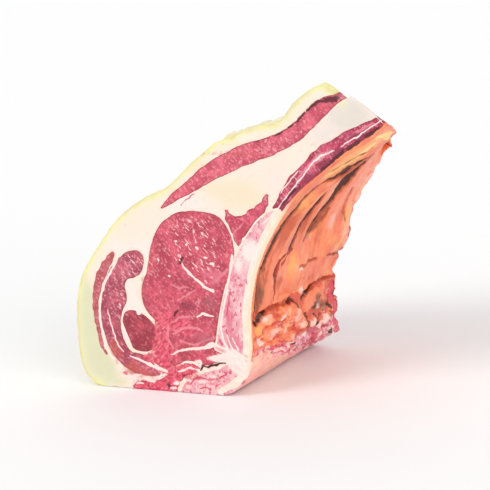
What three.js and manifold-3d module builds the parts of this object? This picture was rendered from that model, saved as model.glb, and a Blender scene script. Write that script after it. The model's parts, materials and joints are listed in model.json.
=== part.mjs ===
// A thick bone-in beef rib steak that stands on its sawn backbone edge.
// Millimetres, +Z up. The show cut faces -Y, +X runs from the back fat to the ribs' hollow side, and +Y runs
// through the thickness. The origin ends up under the middle of the steak, on the surface it stands on.
import * as THREE from "three";
import { mergeVertices } from "three/addons/utils/BufferGeometryUtils.js";
import Module from "manifold-3d";

const wasm = await Module();
wasm.setup();

// Driving dimensions
const THICKNESS = 114; // from the show cut to the far cut, two ribs' worth
const FIT_GAP = 0.3; // clearance between neighbouring tissues
const LINING = 2.4; // membrane and fat over the hollow side of the ribs
const RIB_BULGE = 1.5; // how far a rib pushes out into the lining
const SWELL = 0.9; // height of the slow swells in the hand-trimmed back fat
const FAT_RUN_IN = 14; // depth over which those swells grow behind the show cut
const FAR_ROUNDING = 1.2; // how much the back fat draws in at the far cut
const FAR_RUN_OUT = 10; // depth over which it does
const HOLLOW_RUN_IN = 7; // depth over which the hollow side's relief grows behind the show cut

// Spacing of the points, and the sizes of the tools that cut
const HOLLOW_STEP = 6; // along the hollow side
const FAT_STEP = 6.6; // along the back fat
const MUSCLE_STEP = 3.8; // round a muscle
const STRIP_STEP = 4.6; // along a strip of muscle
const DEPTH_STEPS = 15; // rings from the show cut to the far cut
const RIB_SIDES = 12;
const RIB_STEPS = 20;
const RIB_SQUARENESS = 0.62; // 1 gives a round rib, lower values a squarer one
const OVERRUN = 12; // how far a cutting prism or a rib runs past the steak
const CLEARANCE = 0.3; // least height of what doesn't rest on the underside
const CUTTER_SIZE = 500;

// The outer line of the show cut, as [x, z]: up the back fat, round the rib end, down the hollow side and
// along the underside
const BACK_FAT = [
  [7, 0], [-2, 4], [-7, 13], [-8, 28], [-7, 46], [-5, 58], [0, 73], [9, 86], [20, 99], [33, 113],
  [45, 122], [56, 128], [70, 133], [82, 141], [95, 152], [108, 160.5], [116, 166], [126, 168], [134, 172],
  [147, 176], [158, 177], [165, 181], [170, 188], [179, 194.5], [187.5, 199.5], [194.5, 200.8],
  [199, 197.8], [204.5, 192],
];
const RIB_END = [[207, 192], [213, 194.5], [220, 189.5], [227, 183.5], [235, 175.5]];
const HOLLOW_SIDE = [
  [235, 175.5], [224, 168], [206, 157.5], [188, 144.5], [172, 132.5], [157, 117], [146, 101.5],
  [137.5, 86], [132, 70], [128.5, 56], [127.5, 44], [127, 34], [122.5, 18], [117, 9], [113, 5],
];
const UNDERSIDE = [[113, 5], [107.5, 1.8], [101, 0], [54, 0], [7, 0]];

// The muscles as they show at the cut, each a closed line of [x, z]
const MUSCLES = {
  eye_muscle: [
    [67.5, 111.5], [74.5, 116.5], [82.5, 119.8], [91, 120.8], [100, 120.6], [107.5, 119.5], [112.8, 116.6],
    [116.3, 112], [118.8, 106], [120.2, 99], [119.8, 90], [117.5, 80.5], [114.5, 71], [111, 62], [107.5, 55],
    [103.8, 49], [104, 42], [106.3, 35.5], [108.5, 29], [106.5, 24.8], [100, 22.5], [94, 20.3], [88, 19.8],
    [82, 21.5], [76.5, 22.3], [70.5, 20], [64.5, 17], [58.5, 15.8], [52.5, 17.5], [49.2, 20.5], [52, 25],
    [55.5, 29.8], [58.2, 35.5], [59, 41], [57, 46], [52.8, 50.2], [49, 55], [47, 61], [47.5, 67.5],
    [50, 74.5], [53.3, 79.5], [55.8, 87], [57.8, 95], [60.8, 101.5], [64, 107],
  ],
  cap_muscle: [
    [45.5, 94], [40.5, 93], [34.8, 89.5], [28, 84], [22.8, 77.5], [18.8, 70.5], [16, 62.5], [14.3, 54.5],
    [13.3, 47], [13.8, 39], [15.3, 32], [17.8, 25.5], [22.3, 19.5], [28, 14.5], [35, 10.3], [43, 7.8],
    [51, 9], [56, 12], [52.5, 15.3], [49, 18.2], [46.8, 22], [42, 23.8], [36.5, 24.4], [32.3, 26.5],
    [29.8, 31], [28.3, 37.5], [28.3, 45], [30.2, 52], [33.2, 56.5], [35.2, 61], [35.2, 66.5], [33.8, 71],
    [37, 74], [42.3, 75.3], [46.8, 77.4], [50, 81], [52, 85.3], [52.3, 89.5], [49.8, 92.8],
  ],
  round_muscle: [
    [32, 51.3], [35.5, 53.4], [40, 53.8], [44.5, 52], [48.7, 49.5], [52.6, 45.8], [55.6, 42.3], [56.8, 37.8],
    [55, 32.5], [51.6, 28.4], [46.3, 26.2], [40.5, 25.9], [36.3, 27], [34.3, 31], [32.8, 36], [31.2, 41.3],
    [29.9, 46],
  ],
  corner_muscle: [
    [116.9, 124], [118.9, 120.6], [122.5, 118.7], [127.5, 118.5], [131.5, 121], [135.5, 123.4],
    [139.7, 124.2], [142, 127], [144.5, 129.2], [146.2, 132], [147.6, 135.3], [149.3, 132], [149, 127.5],
    [146, 121], [142, 116], [138, 111.5], [133.8, 106.5], [129.7, 102], [126, 98.8], [123.3, 98.8],
    [121.2, 102], [119.4, 107.5], [117.4, 113.5], [116, 119],
  ],
  base_muscle: [
    [32, 2.5], [36.5, 6], [44, 5.8], [52, 6.8], [58.5, 10.2], [63, 14.6], [68.5, 17.2], [75, 20.2],
    [81.5, 19.3], [86.5, 17.6], [80.5, 14.2], [75, 12.6], [70, 8.8], [66.5, 4], [64, -8], [33, -8],
  ],
};

// The two thin muscles that run as strips, each a middle line of [x, z, width]
const STRIPS = {
  side_muscle: [
    [30, 93, 1.2], [26.5, 88.7, 4.6], [21.3, 82.3, 6.2], [16.6, 75.3, 6.4], [13, 67.3, 5.6], [10.5, 59.2, 5],
    [9.6, 51.5, 4.2], [9.4, 44, 3.2], [9.9, 37.5, 3], [11, 30.8, 3.2], [12.8, 25.2, 2.8], [15, 21.5, 1],
  ],
  top_muscle: [
    [69, 121.5, 0.9], [79, 128.5, 5], [90, 135, 7], [101, 141.5, 9.5], [112, 147.5, 11.5], [124, 153, 12.2],
    [137, 158, 12.2], [150, 161.8, 11.6], [162, 166, 10.8], [172.5, 171.5, 10.3], [181, 177.7, 10.2],
    [189, 184.2, 10], [196, 189.2, 8.5], [203, 191.5, 5], [208, 193, 2.5],
  ],
};

// The chest wall, the layer that holds the ribs, and the sawn backbone under it
const CHEST_WALL = [
  [245, 176], [231, 180.5], [222, 178], [210, 173.5], [198, 167.5], [188, 162.5], [180, 156.5],
  [172, 149.5], [164, 142.5], [157, 133.5], [150.5, 123.5], [143, 114], [136, 106], [127, 97.5],
  [120.5, 88], [116.5, 77], [114.5, 66], [110, 56], [106.5, 49], [105, 42], [107, 35.5], [110, 30],
  [120, 31.5], [140, 38],
];
const BACKBONE = [
  [66, -8], [68.5, 3], [73, 8.5], [80, 12.5], [88, 15.5], [98, 19], [108.5, 23.5], [116, 28], [124, 32],
  [150, 34], [150, -8],
];

// Each rib as stations of [share of the hollow side from its foot, middle depth, half width, thickness]
const RIBS = {
  rib_bone_front: [
    [0.1, 11, 19, 28], [0.19, 11, 19, 26], [0.26, 11, 19, 21.5], [0.35, 11, 18.5, 18],
    [0.43, 11.5, 17.5, 15.5], [0.5, 13.5, 16.5, 13.5], [0.58, 17, 15.5, 12], [0.8, 23, 14.5, 11],
    [1.05, 24, 14, 10],
  ],
  rib_bone_back: [
    [0.12, 86, 17, 25], [0.19, 86, 17, 22], [0.27, 87, 17, 18], [0.4, 88, 16, 16], [0.55, 91, 15, 13.5],
    [0.7, 95, 15, 12], [1.05, 104, 14, 10],
  ],
};

// The oblique saw cut that takes the far upper corner off, from the rib end of the show cut backwards
const SLANT_POINT = new THREE.Vector3(212.3, 1, 194.2);
const SLANT_NORMAL = new THREE.Vector3(0.54, 0.58, 0.84).normalize();

// The lining stops at this share of the hollow side, and the sawn backbone lies bare below it
const LINING_FOOT = 0.09;

// The hollow side's ridges and grooves: [share from the foot, depth, height, reach along, reach in depth]
const HOLLOW_RELIEF = [
  [0.88, 22, 5, 0.14, 13], [0.7, 24, 5, 0.2, 10], [0.45, 24, 2.6, 0.16, 9], [0.27, 20, 2, 0.08, 9],
  [0.35, 8, -2.2, 0.12, 5], [0.52, 12, -1.8, 0.1, 6], [0.3, 33, -2.4, 0.07, 5], [0.5, 41, -3, 0.12, 6],
  [0.45, 66, -5, 0.1, 7], [0.6, 73, -5, 0.1, 7], [0.78, 58, -3.5, 0.12, 12], [0.38, 100, 6, 0.1, 20],
  [0.25, 104, -4, 0.03, 14], [0.17, 106, -4, 0.03, 12], [0.31, 60, 3, 0.06, 16],
  [0.19, 30, 5.5, 0.045, 14], [0.2, 58, 4.5, 0.04, 12], [0.21, 88, 4, 0.035, 12],
  [0.24, 44, -3, 0.02, 22], [0.1, 60, 2, 0.04, 40], [0.06, 105, 3, 0.05, 16], [0.0, 60, -1, 0.03, 60],
];
const RELIEF_FALL = 1.5; // how fast a ridge falls off over its reach

// The waves of the back fat: [strength, turn per point, turn per millimetre of depth, phase]
const FAT_WAVES = [[1, 0.55, 0.045, 0], [0.6, 1.3, -0.09, 1.7]];

// A spline through [x, z] points, resampled at about the given step
function lineThrough(points, step, closed = false) {
  const curve = new THREE.CatmullRomCurve3(
    points.map(([x, z]) => new THREE.Vector3(x, 0, z)), closed, "centripetal",
  );
  const count = Math.max(4, Math.round(curve.getLength() / step));
  const spaced = curve.getSpacedPoints(count).map((p) => new THREE.Vector2(p.x, p.z));
  return closed ? spaced.slice(0, -1) : spaced;
}

// The outline of a strip, from its middle line and widths
function stripOutline(stations, step) {
  const curve = new THREE.CatmullRomCurve3(
    stations.map(([x, z, width]) => new THREE.Vector3(x, width, z)), false, "centripetal",
  );
  const count = Math.round(curve.getLength() / step);
  const sides = [[], []];
  for (let i = 0; i <= count; i++) {
    const middle = curve.getPointAt(i / count);
    const along = curve.getTangentAt(i / count);
    const across = new THREE.Vector2(-along.z, along.x).normalize();
    const here = new THREE.Vector2(middle.x, middle.z);
    sides[0].push(here.clone().addScaledVector(across, middle.y / 2));
    sides[1].unshift(here.clone().addScaledVector(across, -middle.y / 2));
  }
  return [...sides[0], ...sides[1]];
}

// Moves each point of a closed outline outwards by its own amount, or inwards where that is negative
function offsetOutline(outline, amounts) {
  const turn = THREE.ShapeUtils.isClockWise(outline) ? -1 : 1;
  return outline.map((p, i) => {
    const before = outline[(i + outline.length - 1) % outline.length];
    const after = outline[(i + 1) % outline.length];
    const along = after.clone().sub(before).setLength(turn * amounts[i]);
    return new THREE.Vector2(p.x + along.y, p.y - along.x);
  });
}

// The solid inside a closed geometry, whichever way round its triangles are wound
function solidFrom(geometry) {
  const bare = geometry.clone();
  bare.deleteAttribute("normal");
  bare.deleteAttribute("uv");
  const merged = mergeVertices(bare, 1e-4);
  const vertProperties = new Float32Array(merged.attributes.position.array);
  const triVerts = new Uint32Array(merged.index.array);
  const solid = new wasm.Manifold(new wasm.Mesh({ numProp: 3, vertProperties, triVerts }));
  if (solid.volume() > 0) return solid;
  triVerts.reverse();
  return new wasm.Manifold(new wasm.Mesh({ numProp: 3, vertProperties, triVerts }));
}

// A prism that runs through the whole thickness on the given outline
function prism(outline) {
  const geometry = new THREE.ExtrudeGeometry(new THREE.Shape(outline), {
    depth: THICKNESS + 2 * OVERRUN,
    bevelEnabled: false,
  });
  geometry.rotateX(Math.PI / 2);
  geometry.translate(0, THICKNESS + OVERRUN, 0);
  return solidFrom(geometry);
}

// A closed tube through rings of points that all have the same count, with both ends capped. The flat outline
// that the caps are cut to runs anticlockwise.
function loftRings(rings, capOutline) {
  const size = rings[0].length;
  const positions = rings.flat().flatMap((p) => [p.x, p.y, p.z]);
  const index = [];
  for (let j = 0; j + 1 < rings.length; j++) {
    for (let i = 0; i < size; i++) {
      const a = j * size + i;
      const b = j * size + ((i + 1) % size);
      index.push(a, b, a + size, b, b + size, a + size);
    }
  }
  const last = (rings.length - 1) * size;
  for (const [a, b, c] of THREE.ShapeUtils.triangulateShape(capOutline, [])) {
    index.push(a, c, b, last + a, last + b, last + c);
  }
  const geometry = new THREE.BufferGeometry();
  geometry.setAttribute("position", new THREE.Float32BufferAttribute(positions, 3));
  geometry.setIndex(index);
  return solidFrom(geometry);
}

// How far the hollow side stands out at a place, nothing at the show cut
function hollowRelief(share, depth) {
  const behindCut = THREE.MathUtils.smoothstep(depth, 0, HOLLOW_RUN_IN);
  return behindCut * HOLLOW_RELIEF.reduce((sum, [ridgeShare, ridgeDepth, height, along, deep]) => {
    const distance = Math.hypot((share - ridgeShare) / along, (depth - ridgeDepth) / deep);
    return sum + height * Math.exp(-RELIEF_FALL * distance ** 2);
  }, 0);
}

// Slow swells and dimples of the back fat, counted in points up from the underside
function fatRelief(index, depth) {
  const swell = FAT_WAVES.reduce(
    (sum, [strength, perPoint, perDepth, phase]) =>
      sum + strength * Math.sin(index * perPoint + depth * perDepth + phase),
    0,
  );
  const behindCut = THREE.MathUtils.smoothstep(depth, 0, FAT_RUN_IN);
  const atFarCut = 1 - THREE.MathUtils.smoothstep(THICKNESS - depth, 0, FAR_RUN_OUT);
  return behindCut * SWELL * swell - FAR_ROUNDING * atFarCut;
}

// The whole outline, clockwise from the underside. A point's push says how far it stands out at a depth, when
// the hollow side is moved in by what inset gives for a share.
function wholeOutline(inset) {
  const still = () => 0;
  const flat = ([x, z]) => ({ place: new THREE.Vector2(x, z), push: still });
  const underside = UNDERSIDE.slice(1, -1).map(flat);
  const backFat = lineThrough(BACK_FAT, FAT_STEP).map((place, i) => ({
    place,
    push: i > 0 ? (depth) => fatRelief(i, depth) : still,
  }));
  const ribEnd = RIB_END.slice(0, -1).map(flat);
  const line = lineThrough(HOLLOW_SIDE, HOLLOW_STEP);
  const hollow = line.map((place, i) => {
    const share = 1 - i / (line.length - 1);
    return { place, push: (depth) => hollowRelief(share, depth) - inset(share) };
  });
  return [...underside, ...backFat, ...ribEnd, ...hollow];
}

// The whole steak before its tissues are parted
function wholeSteak(inset = () => 0) {
  const points = wholeOutline(inset).reverse();
  const outline = points.map(({ place }) => place);
  const rings = [];
  for (let j = 0; j <= DEPTH_STEPS; j++) {
    const depth = (THICKNESS * j) / DEPTH_STEPS;
    const ring = offsetOutline(outline, points.map(({ push }) => push(depth)));
    rings.push(
      ring.map((p, i) => {
        const height = outline[i].y === 0 ? 0 : Math.max(CLEARANCE, p.y);
        return new THREE.Vector3(p.x, depth, height);
      }),
    );
  }
  return loftRings(rings, outline);
}

// A great box whose one face is the oblique saw cut
function slantCutter() {
  const box = new THREE.BoxGeometry(CUTTER_SIZE, CUTTER_SIZE, CUTTER_SIZE);
  const upwards = new THREE.Vector3(0, 0, 1);
  box.applyQuaternion(new THREE.Quaternion().setFromUnitVectors(upwards, SLANT_NORMAL));
  const centre = SLANT_POINT.clone().addScaledVector(SLANT_NORMAL, CUTTER_SIZE / 2);
  box.translate(centre.x, centre.y, centre.z);
  return solidFrom(box);
}

// A rib's middle depth, half width and thickness at a share, between its stations
function ribAt(stations, share) {
  const last = stations.length - 1;
  const i = Math.min(last - 1, Math.max(0, stations.findIndex(([s]) => s > share) - 1));
  const [from, to] = [stations[i], stations[i + 1]];
  const t = THREE.MathUtils.clamp((share - from[0]) / (to[0] - from[0]), 0, 1);
  return from.map((value, k) => THREE.MathUtils.lerp(value, to[k], t));
}

// The rounded square that a rib is cut across to, one unit out to each side, anticlockwise
function ribSection() {
  const squared = (value) => Math.sign(value) * Math.abs(value) ** RIB_SQUARENESS;
  return Array.from({ length: RIB_SIDES }, (_, i) => {
    const angle = (2 * Math.PI * i) / RIB_SIDES;
    return new THREE.Vector2(squared(Math.cos(angle)), squared(Math.sin(angle)));
  });
}

// One rib: a flattened bar that follows the hollow side, just under the lining, grown by a margin all round
function ribBar(stations, margin) {
  const curve = new THREE.CatmullRomCurve3(
    [...HOLLOW_SIDE].reverse().map(([x, z]) => new THREE.Vector3(x, 0, z)), false, "centripetal",
  );
  const section = ribSection();
  const rings = [];
  for (let j = 0; j <= RIB_STEPS; j++) {
    const share = THREE.MathUtils.lerp(stations[0][0], 1, j / RIB_STEPS);
    const [, depth, halfWidth, thickness] = ribAt(stations, share);
    const along = curve.getTangentAt(share);
    const inward = new THREE.Vector3(-along.z, 0, along.x);
    const inset = thickness / 2 + LINING - RIB_BULGE - hollowRelief(share, depth);
    const centre = curve.getPointAt(share).addScaledVector(inward, inset).setY(depth);
    if (j === RIB_STEPS) centre.addScaledVector(along, OVERRUN);
    rings.push(
      section.map((p) => {
        const corner = centre.clone().addScaledVector(inward, p.x * (thickness / 2 + margin));
        return corner.setY(depth + p.y * (halfWidth + margin));
      }),
    );
  }
  return loftRings(rings, section);
}

// The largest body of a solid, without the scraps that a cut leaves
function mainBody(solid) {
  return solid.decompose().sort((a, b) => b.volume() - a.volume())[0];
}

const group = new THREE.Group();

// Adds a solid to the group as a named mesh
function addNode(name, solid, look) {
  const mesh = solid.getMesh();
  const geometry = new THREE.BufferGeometry();
  geometry.setAttribute("position", new THREE.BufferAttribute(mesh.vertProperties, mesh.numProp));
  geometry.setIndex(new THREE.BufferAttribute(mesh.triVerts, 1));
  const flat = geometry.toNonIndexed();
  flat.computeVertexNormals();
  const node = new THREE.Mesh(flat, new THREE.MeshStandardMaterial({ metalness: 0, ...look }));
  node.name = name;
  group.add(node);
}

const LOOKS = {
  fat: { color: 0xf3e6c8, roughness: 0.5 },
  lean: { color: 0xb4404c, roughness: 0.42 },
  darkLean: { color: 0x96323c, roughness: 0.42 },
  bone: { color: 0xecc9bf, roughness: 0.6 },
  lining: { color: 0xe58a62, roughness: 0.35 },
};

// The lining is what lies between the full steak and one whose hollow side is moved in. Below the lining's
// foot that side is moved out a little instead, so that nothing is left there.
const liningInset = (gap) => (share) => (share < LINING_FOOT ? -LINING : LINING + gap);
const steak = wholeSteak();
const lining = mainBody(steak.subtract(wholeSteak(liningInset(0))).subtract(slantCutter()));
let rest = steak.intersect(wholeSteak(liningInset(FIT_GAP))).subtract(slantCutter());

// Cuts the main body inside an outline out of what is left of the steak, leaving the fit gap round it
function takeOut(outline) {
  const even = (amount) => outline.map(() => amount);
  const piece = rest.intersect(prism(offsetOutline(outline, even(-FIT_GAP / 2))));
  rest = rest.subtract(prism(offsetOutline(outline, even(FIT_GAP / 2))));
  return mainBody(piece);
}

addNode("rib_lining", lining, LOOKS.lining);

for (const [name, stations] of Object.entries(RIBS)) {
  addNode(name, mainBody(rest.intersect(ribBar(stations, 0))), LOOKS.bone);
  rest = rest.subtract(ribBar(stations, FIT_GAP));
}

addNode("backbone", takeOut(lineThrough(BACKBONE, MUSCLE_STEP, true)), LOOKS.bone);
addNode("rib_meat", takeOut(lineThrough(CHEST_WALL, MUSCLE_STEP, true)), LOOKS.darkLean);

for (const [name, points] of Object.entries(MUSCLES)) {
  const look = name === "round_muscle" ? LOOKS.darkLean : LOOKS.lean;
  addNode(name, takeOut(lineThrough(points, MUSCLE_STEP, true)), look);
}
for (const [name, stations] of Object.entries(STRIPS)) {
  addNode(name, takeOut(stripOutline(stations, STRIP_STEP)), LOOKS.lean);
}

addNode("fat_cover", mainBody(rest), LOOKS.fat);

// The origin goes under the middle of the whole steak
const box = new THREE.Box3().setFromObject(group);
const middle = box.getCenter(new THREE.Vector3());
group.position.set(-middle.x, -middle.y, -box.min.z);

export default group;
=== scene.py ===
"""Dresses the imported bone-in rib steak: one carved body parted into its fat, muscles, bones and lining."""
import json
import math

import bmesh
import bpy
import numpy as np
from bpy.props import FloatProperty, PointerProperty
from mathutils import Matrix, Vector
from mathutils.bvhtree import BVHTree

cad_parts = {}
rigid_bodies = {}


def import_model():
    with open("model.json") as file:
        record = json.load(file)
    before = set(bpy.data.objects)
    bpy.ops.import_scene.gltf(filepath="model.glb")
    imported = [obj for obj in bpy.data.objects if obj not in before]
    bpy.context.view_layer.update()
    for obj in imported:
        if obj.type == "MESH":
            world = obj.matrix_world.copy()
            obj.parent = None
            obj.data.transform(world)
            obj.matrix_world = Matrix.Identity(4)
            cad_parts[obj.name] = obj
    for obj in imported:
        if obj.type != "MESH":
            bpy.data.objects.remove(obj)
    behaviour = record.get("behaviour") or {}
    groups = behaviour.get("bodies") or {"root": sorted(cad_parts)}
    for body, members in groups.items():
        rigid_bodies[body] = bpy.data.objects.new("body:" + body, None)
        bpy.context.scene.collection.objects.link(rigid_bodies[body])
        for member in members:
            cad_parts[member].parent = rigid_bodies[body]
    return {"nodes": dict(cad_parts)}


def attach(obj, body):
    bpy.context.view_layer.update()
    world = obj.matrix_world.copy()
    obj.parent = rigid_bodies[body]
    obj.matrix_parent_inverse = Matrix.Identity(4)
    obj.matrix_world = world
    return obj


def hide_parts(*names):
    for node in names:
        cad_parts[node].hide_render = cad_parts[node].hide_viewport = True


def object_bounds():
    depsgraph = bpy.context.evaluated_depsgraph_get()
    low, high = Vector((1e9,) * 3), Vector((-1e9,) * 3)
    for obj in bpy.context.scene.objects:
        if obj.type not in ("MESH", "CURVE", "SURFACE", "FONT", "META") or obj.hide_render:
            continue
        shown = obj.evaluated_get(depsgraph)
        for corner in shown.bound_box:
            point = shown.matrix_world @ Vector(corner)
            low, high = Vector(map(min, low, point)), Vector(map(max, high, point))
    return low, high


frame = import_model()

bl_info = {
    "name": "Bone-in rib steak",
    "version": (1, 0, 0),
    "blender": (4, 5, 0),
    "location": "3D View > Sidebar > Steak",
    "description": "Carves a thick rib steak and dresses its fat, muscles, bones and lining",
    "category": "Add Mesh",
}

CAD_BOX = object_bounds()
NODES = frame["nodes"]

# Places on the steak are in millimetres: x along the show cut, y into the depth and z up. This is where the
# model's origin lies in them.
CUT_ORIGIN = np.array((112.97, 57.0, 0.0))
THICKNESS = 114.0
MM = 0.001

# The camera of the photograph: it looks at a place from an angle and a distance, turned a little
AZIMUTH, ELEVATION, ROLL = math.radians(32), math.radians(13.5), math.radians(6)
DISTANCE = 1.4
FRAME_WIDTH = 0.3136  # what the picture spans at that distance
TARGET = (-0.00897, -0.017, 0.089)
SENSOR_WIDTH = 36

# Soft lights: name, the way to it, power and how many degrees of the sky it spans
LIGHTS = (
    ("key", (-0.45, -0.62, 0.64), 1.05, 30),
    ("fill", (0.8, -0.4, 0.36), 1.12, 45),
    ("back", (-0.3, 0.8, 0.5), 0.5, 70),
)
SKY_STRENGTH = 0.64
FLOOR_REACH = 6
FLOOR_COLOUR = (0.93, 0.93, 0.93, 1)

# How the pieces are parted, in millimetres
MERGE = 0.01  # loose corners closer than this are one
OUTLINE_MERGE = 0.5  # and on a muscle's outline, closer than this
CLOSE_GAP = 0.2  # what each solid grows by, so that the fit gaps close
SEAM_GROWTH = 0.27  # what a cutter's walls grow by, so that neighbours overlap a little
SKIN_PUSH = 3.0  # how far a cutter stands out of the steak
LOOK_OUT = 5.0  # a face that sees nothing within this distance is on the skin
LOOK_START = 0.02  # how far in front of the face the look starts
OUTLINE_STEP = 1.1  # spacing of the corners along a muscle's outline
WALL_STEP = 1.4  # spacing of the walls that are eased
WALL_REACH = 12.0  # how far off a wall still counts as near
TISSUE_DRIFT = 1.6  # how far the tissues wander between the show cut and the far cut
MEAT_WAVE = 0.8  # how wavy the rib meat's walls are
OUTLINE_WAVE = 0.35  # how wavy a muscle's outline is
PLAIN_RAGGED = 0.15  # how ragged it is besides, where RAGGED_OUTLINES doesn't say
DOME_SHOULDER = 2.2  # how far in from its edges a muscle has mostly risen to its dome
GRAIN_SHOULDER = 0.8  # and a cut face to its grain

# How fine the skin is
BODY_SMOOTHING = 7  # rounds
WALL_SMOOTHING = 3
OUTLINE_SMOOTHING = 6
THINNED_SHARE = 0.71  # of the plain skin's faces, which carry little
FINE_UP_TO = 60  # the hollow side is fine below this place up it
FINE_BY_GROOVE = 2.8  # and this near to a groove
FINE_BY_WALL = 2.5  # the show cut is fine this near to a wall between tissues
SCRAP_FACES = 120  # a loose bit with fewer faces is dropped
SHARP_ANGLE = math.radians(50)

# Where kinds of relief fade in or out, in millimetres
LUMPS_END = 56, 49  # up the hollow side
FOLDS_START = 48, 62
RAGS_START = 96, 110  # in depth along it
HOLLOW_START = 0.5, 5
HOLLOW_NEAR = 12, 8  # away from its line
HOLLOW_FOOT = 108, 112  # along x
TEARS_NEAR = 16, 4  # away from its line, on the far cut
SHOW_CUT_END = 6, 3  # in depth
FAR_CUT_START = THICKNESS - 8, THICKNESS - 4
UNDERSIDE_END = 5, 1  # up from it
SCALLOPS_END = 175, 160  # along x, over the back fat
SQUARELY = 0.5, 0.9  # how much the skin must face along y to be on a cut

# How far kinds of relief go, in millimetres
GROOVE_SLOPE = 0.5  # how far a groove's slopes reach past its width
GROOVE_SHADE_REACH = 0.9  # and the painted shade on its walls
CROSSING = 0.25  # the share of the shallower groove that is added where two cross
LUMP_SHARE, LUMP_BED = 0.85, 1.7  # how much of a lump shows, and how deep the bed round the lumps lies
WRINKLE_HEIGHT = 0.5
HOLLOW_SINK = 0.3  # what the hollow side, the cuts and the back fat lie in by, on the whole
SHOW_CUT_SINK, FAR_CUT_SINK, BACK_FAT_SINK = 0.35, 0.5, 1.1
TEAR_DEPTH, FAR_TEAR_DEPTH = 0.9, 1.5
SCALLOP_HEIGHT = 1.4
CREASE_DEPTH, CREASE_WIDTH = 0.7, 0.05

# Where stains and other looks fade in or out, in millimetres
LINING_NEAR = 9, 6  # away from the hollow side's line
LINING_START = 1.8, 3.2  # in depth
SHOW_LOOK_END = 6, 4
FAR_LOOK_START = THICKNESS - 9, THICKNESS - 6
CRACK_GAPS_START = 120, 140  # along x
BONE_WALL_NEAR = 7.8, 6.2  # away from the hollow side's line
BONE_WALL_START = 24, 34  # up
RIM_REACH = 4  # how far in the rind's yellow reaches
OUTSIDE_START = 3, 22  # in depth
PALE_EDGE_END = 3.5, 2.2
PALE_EDGE_LOST = 142, 180  # along x
HEM_MIDDLE, HEM_SPREAD = 4, 3.4  # above the hem's line
HEM_END = 30, 24  # up the hollow side

# Layers of noise that shape the skin: how strong each is in millimetres, the size of its lumps and its seed
GROOVE_WANDER_UP = ((1.2, 9, 31), (0.7, 2.8, 39))
GROOVE_WANDER_IN = ((1.2, 9, 32), (0.8, 2.8, 40))
LUMP_WANDER_UP = ((1.5, (4, 6, 1), 29), (0.5, 2.2, 27))
LUMP_WANDER_IN = ((2.6, (4, 6, 1), 30), (0.9, 2.2, 28))
LUMP_SKIN = ((0.9, (4, 6, 1), 33), (0.7, (1.8, 2.6, 1), 34))
LINING_SKIN = ((0.15, 2.2, 36),)
LINING_WRINKLES = (16, 11, 1), 35
LINING_FOLDS = ((0.7, (34, 7, 1), 37), (0.4, (18, 3.4, 1), 38))
LINING_RAGS = ((1.3, (9, 14, 1), 48), (0.9, (4, 7, 1), 49))
SHOW_CUT = ((0.25, 14, 41),)
SHOW_CUT_TEARS = ((1.1, (2.6, 1, 4.4), 42), (0.8, (1.5, 1, 2.2), 43))
FAR_CUT = ((0.5, (12, 30, 12), 46), (0.25, 4, 47))
FAR_CUT_TEARS = ((2.2, (7, 20, 7), 44), (1.2, 3.5, 45))
BACK_FAT_SWELLS = (18, 30, 18), 51
BACK_FAT_SCALLOPS = (6, 12, 6), 52
BACK_FAT_DENTS = ((0.3, 2.4, 53),)
BACK_FAT_CREASES = (((22, 60, 22), 91), ((34, 26, 34), 92))
CUT_GRAIN = ((0.6, (2.2, 6, 2.2), 71), (0.4, (1.1, 4, 1.1), 72))

# The hollow side from its foot to the rib end, as (x, z)
HOLLOW_LINE = [
    (113, 5), (117, 9), (122.5, 18), (127, 34), (127.5, 44), (128.5, 56), (132, 70), (137.5, 86),
    (146, 101.5), (157, 117), (172, 132.5), (188, 144.5), (206, 157.5), (224, 168), (235, 175.5),
]
HOLLOW = np.array(HOLLOW_LINE, float)
HOLLOW_REACH = np.concatenate([[0], np.cumsum(np.hypot(*np.diff(HOLLOW, axis=0).T))])  # how far up it each is

# The back fat's line on the show cut, from the underside to the rib end
BACK_LINE = [
    (7, 0), (-2, 4), (-7, 13), (-8, 28), (-7, 46), (-5, 58), (0, 73), (9, 86), (20, 99), (33, 113),
    (45, 122), (56, 128), (70, 133), (82, 141), (95, 152), (108, 160.5), (116, 166), (126, 168),
    (134, 172), (147, 176), (158, 177), (165, 181), (170, 188), (179, 194.5), (187.5, 199.5),
    (194.5, 200.8), (199, 197.8), (204.5, 192),
]

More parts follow.
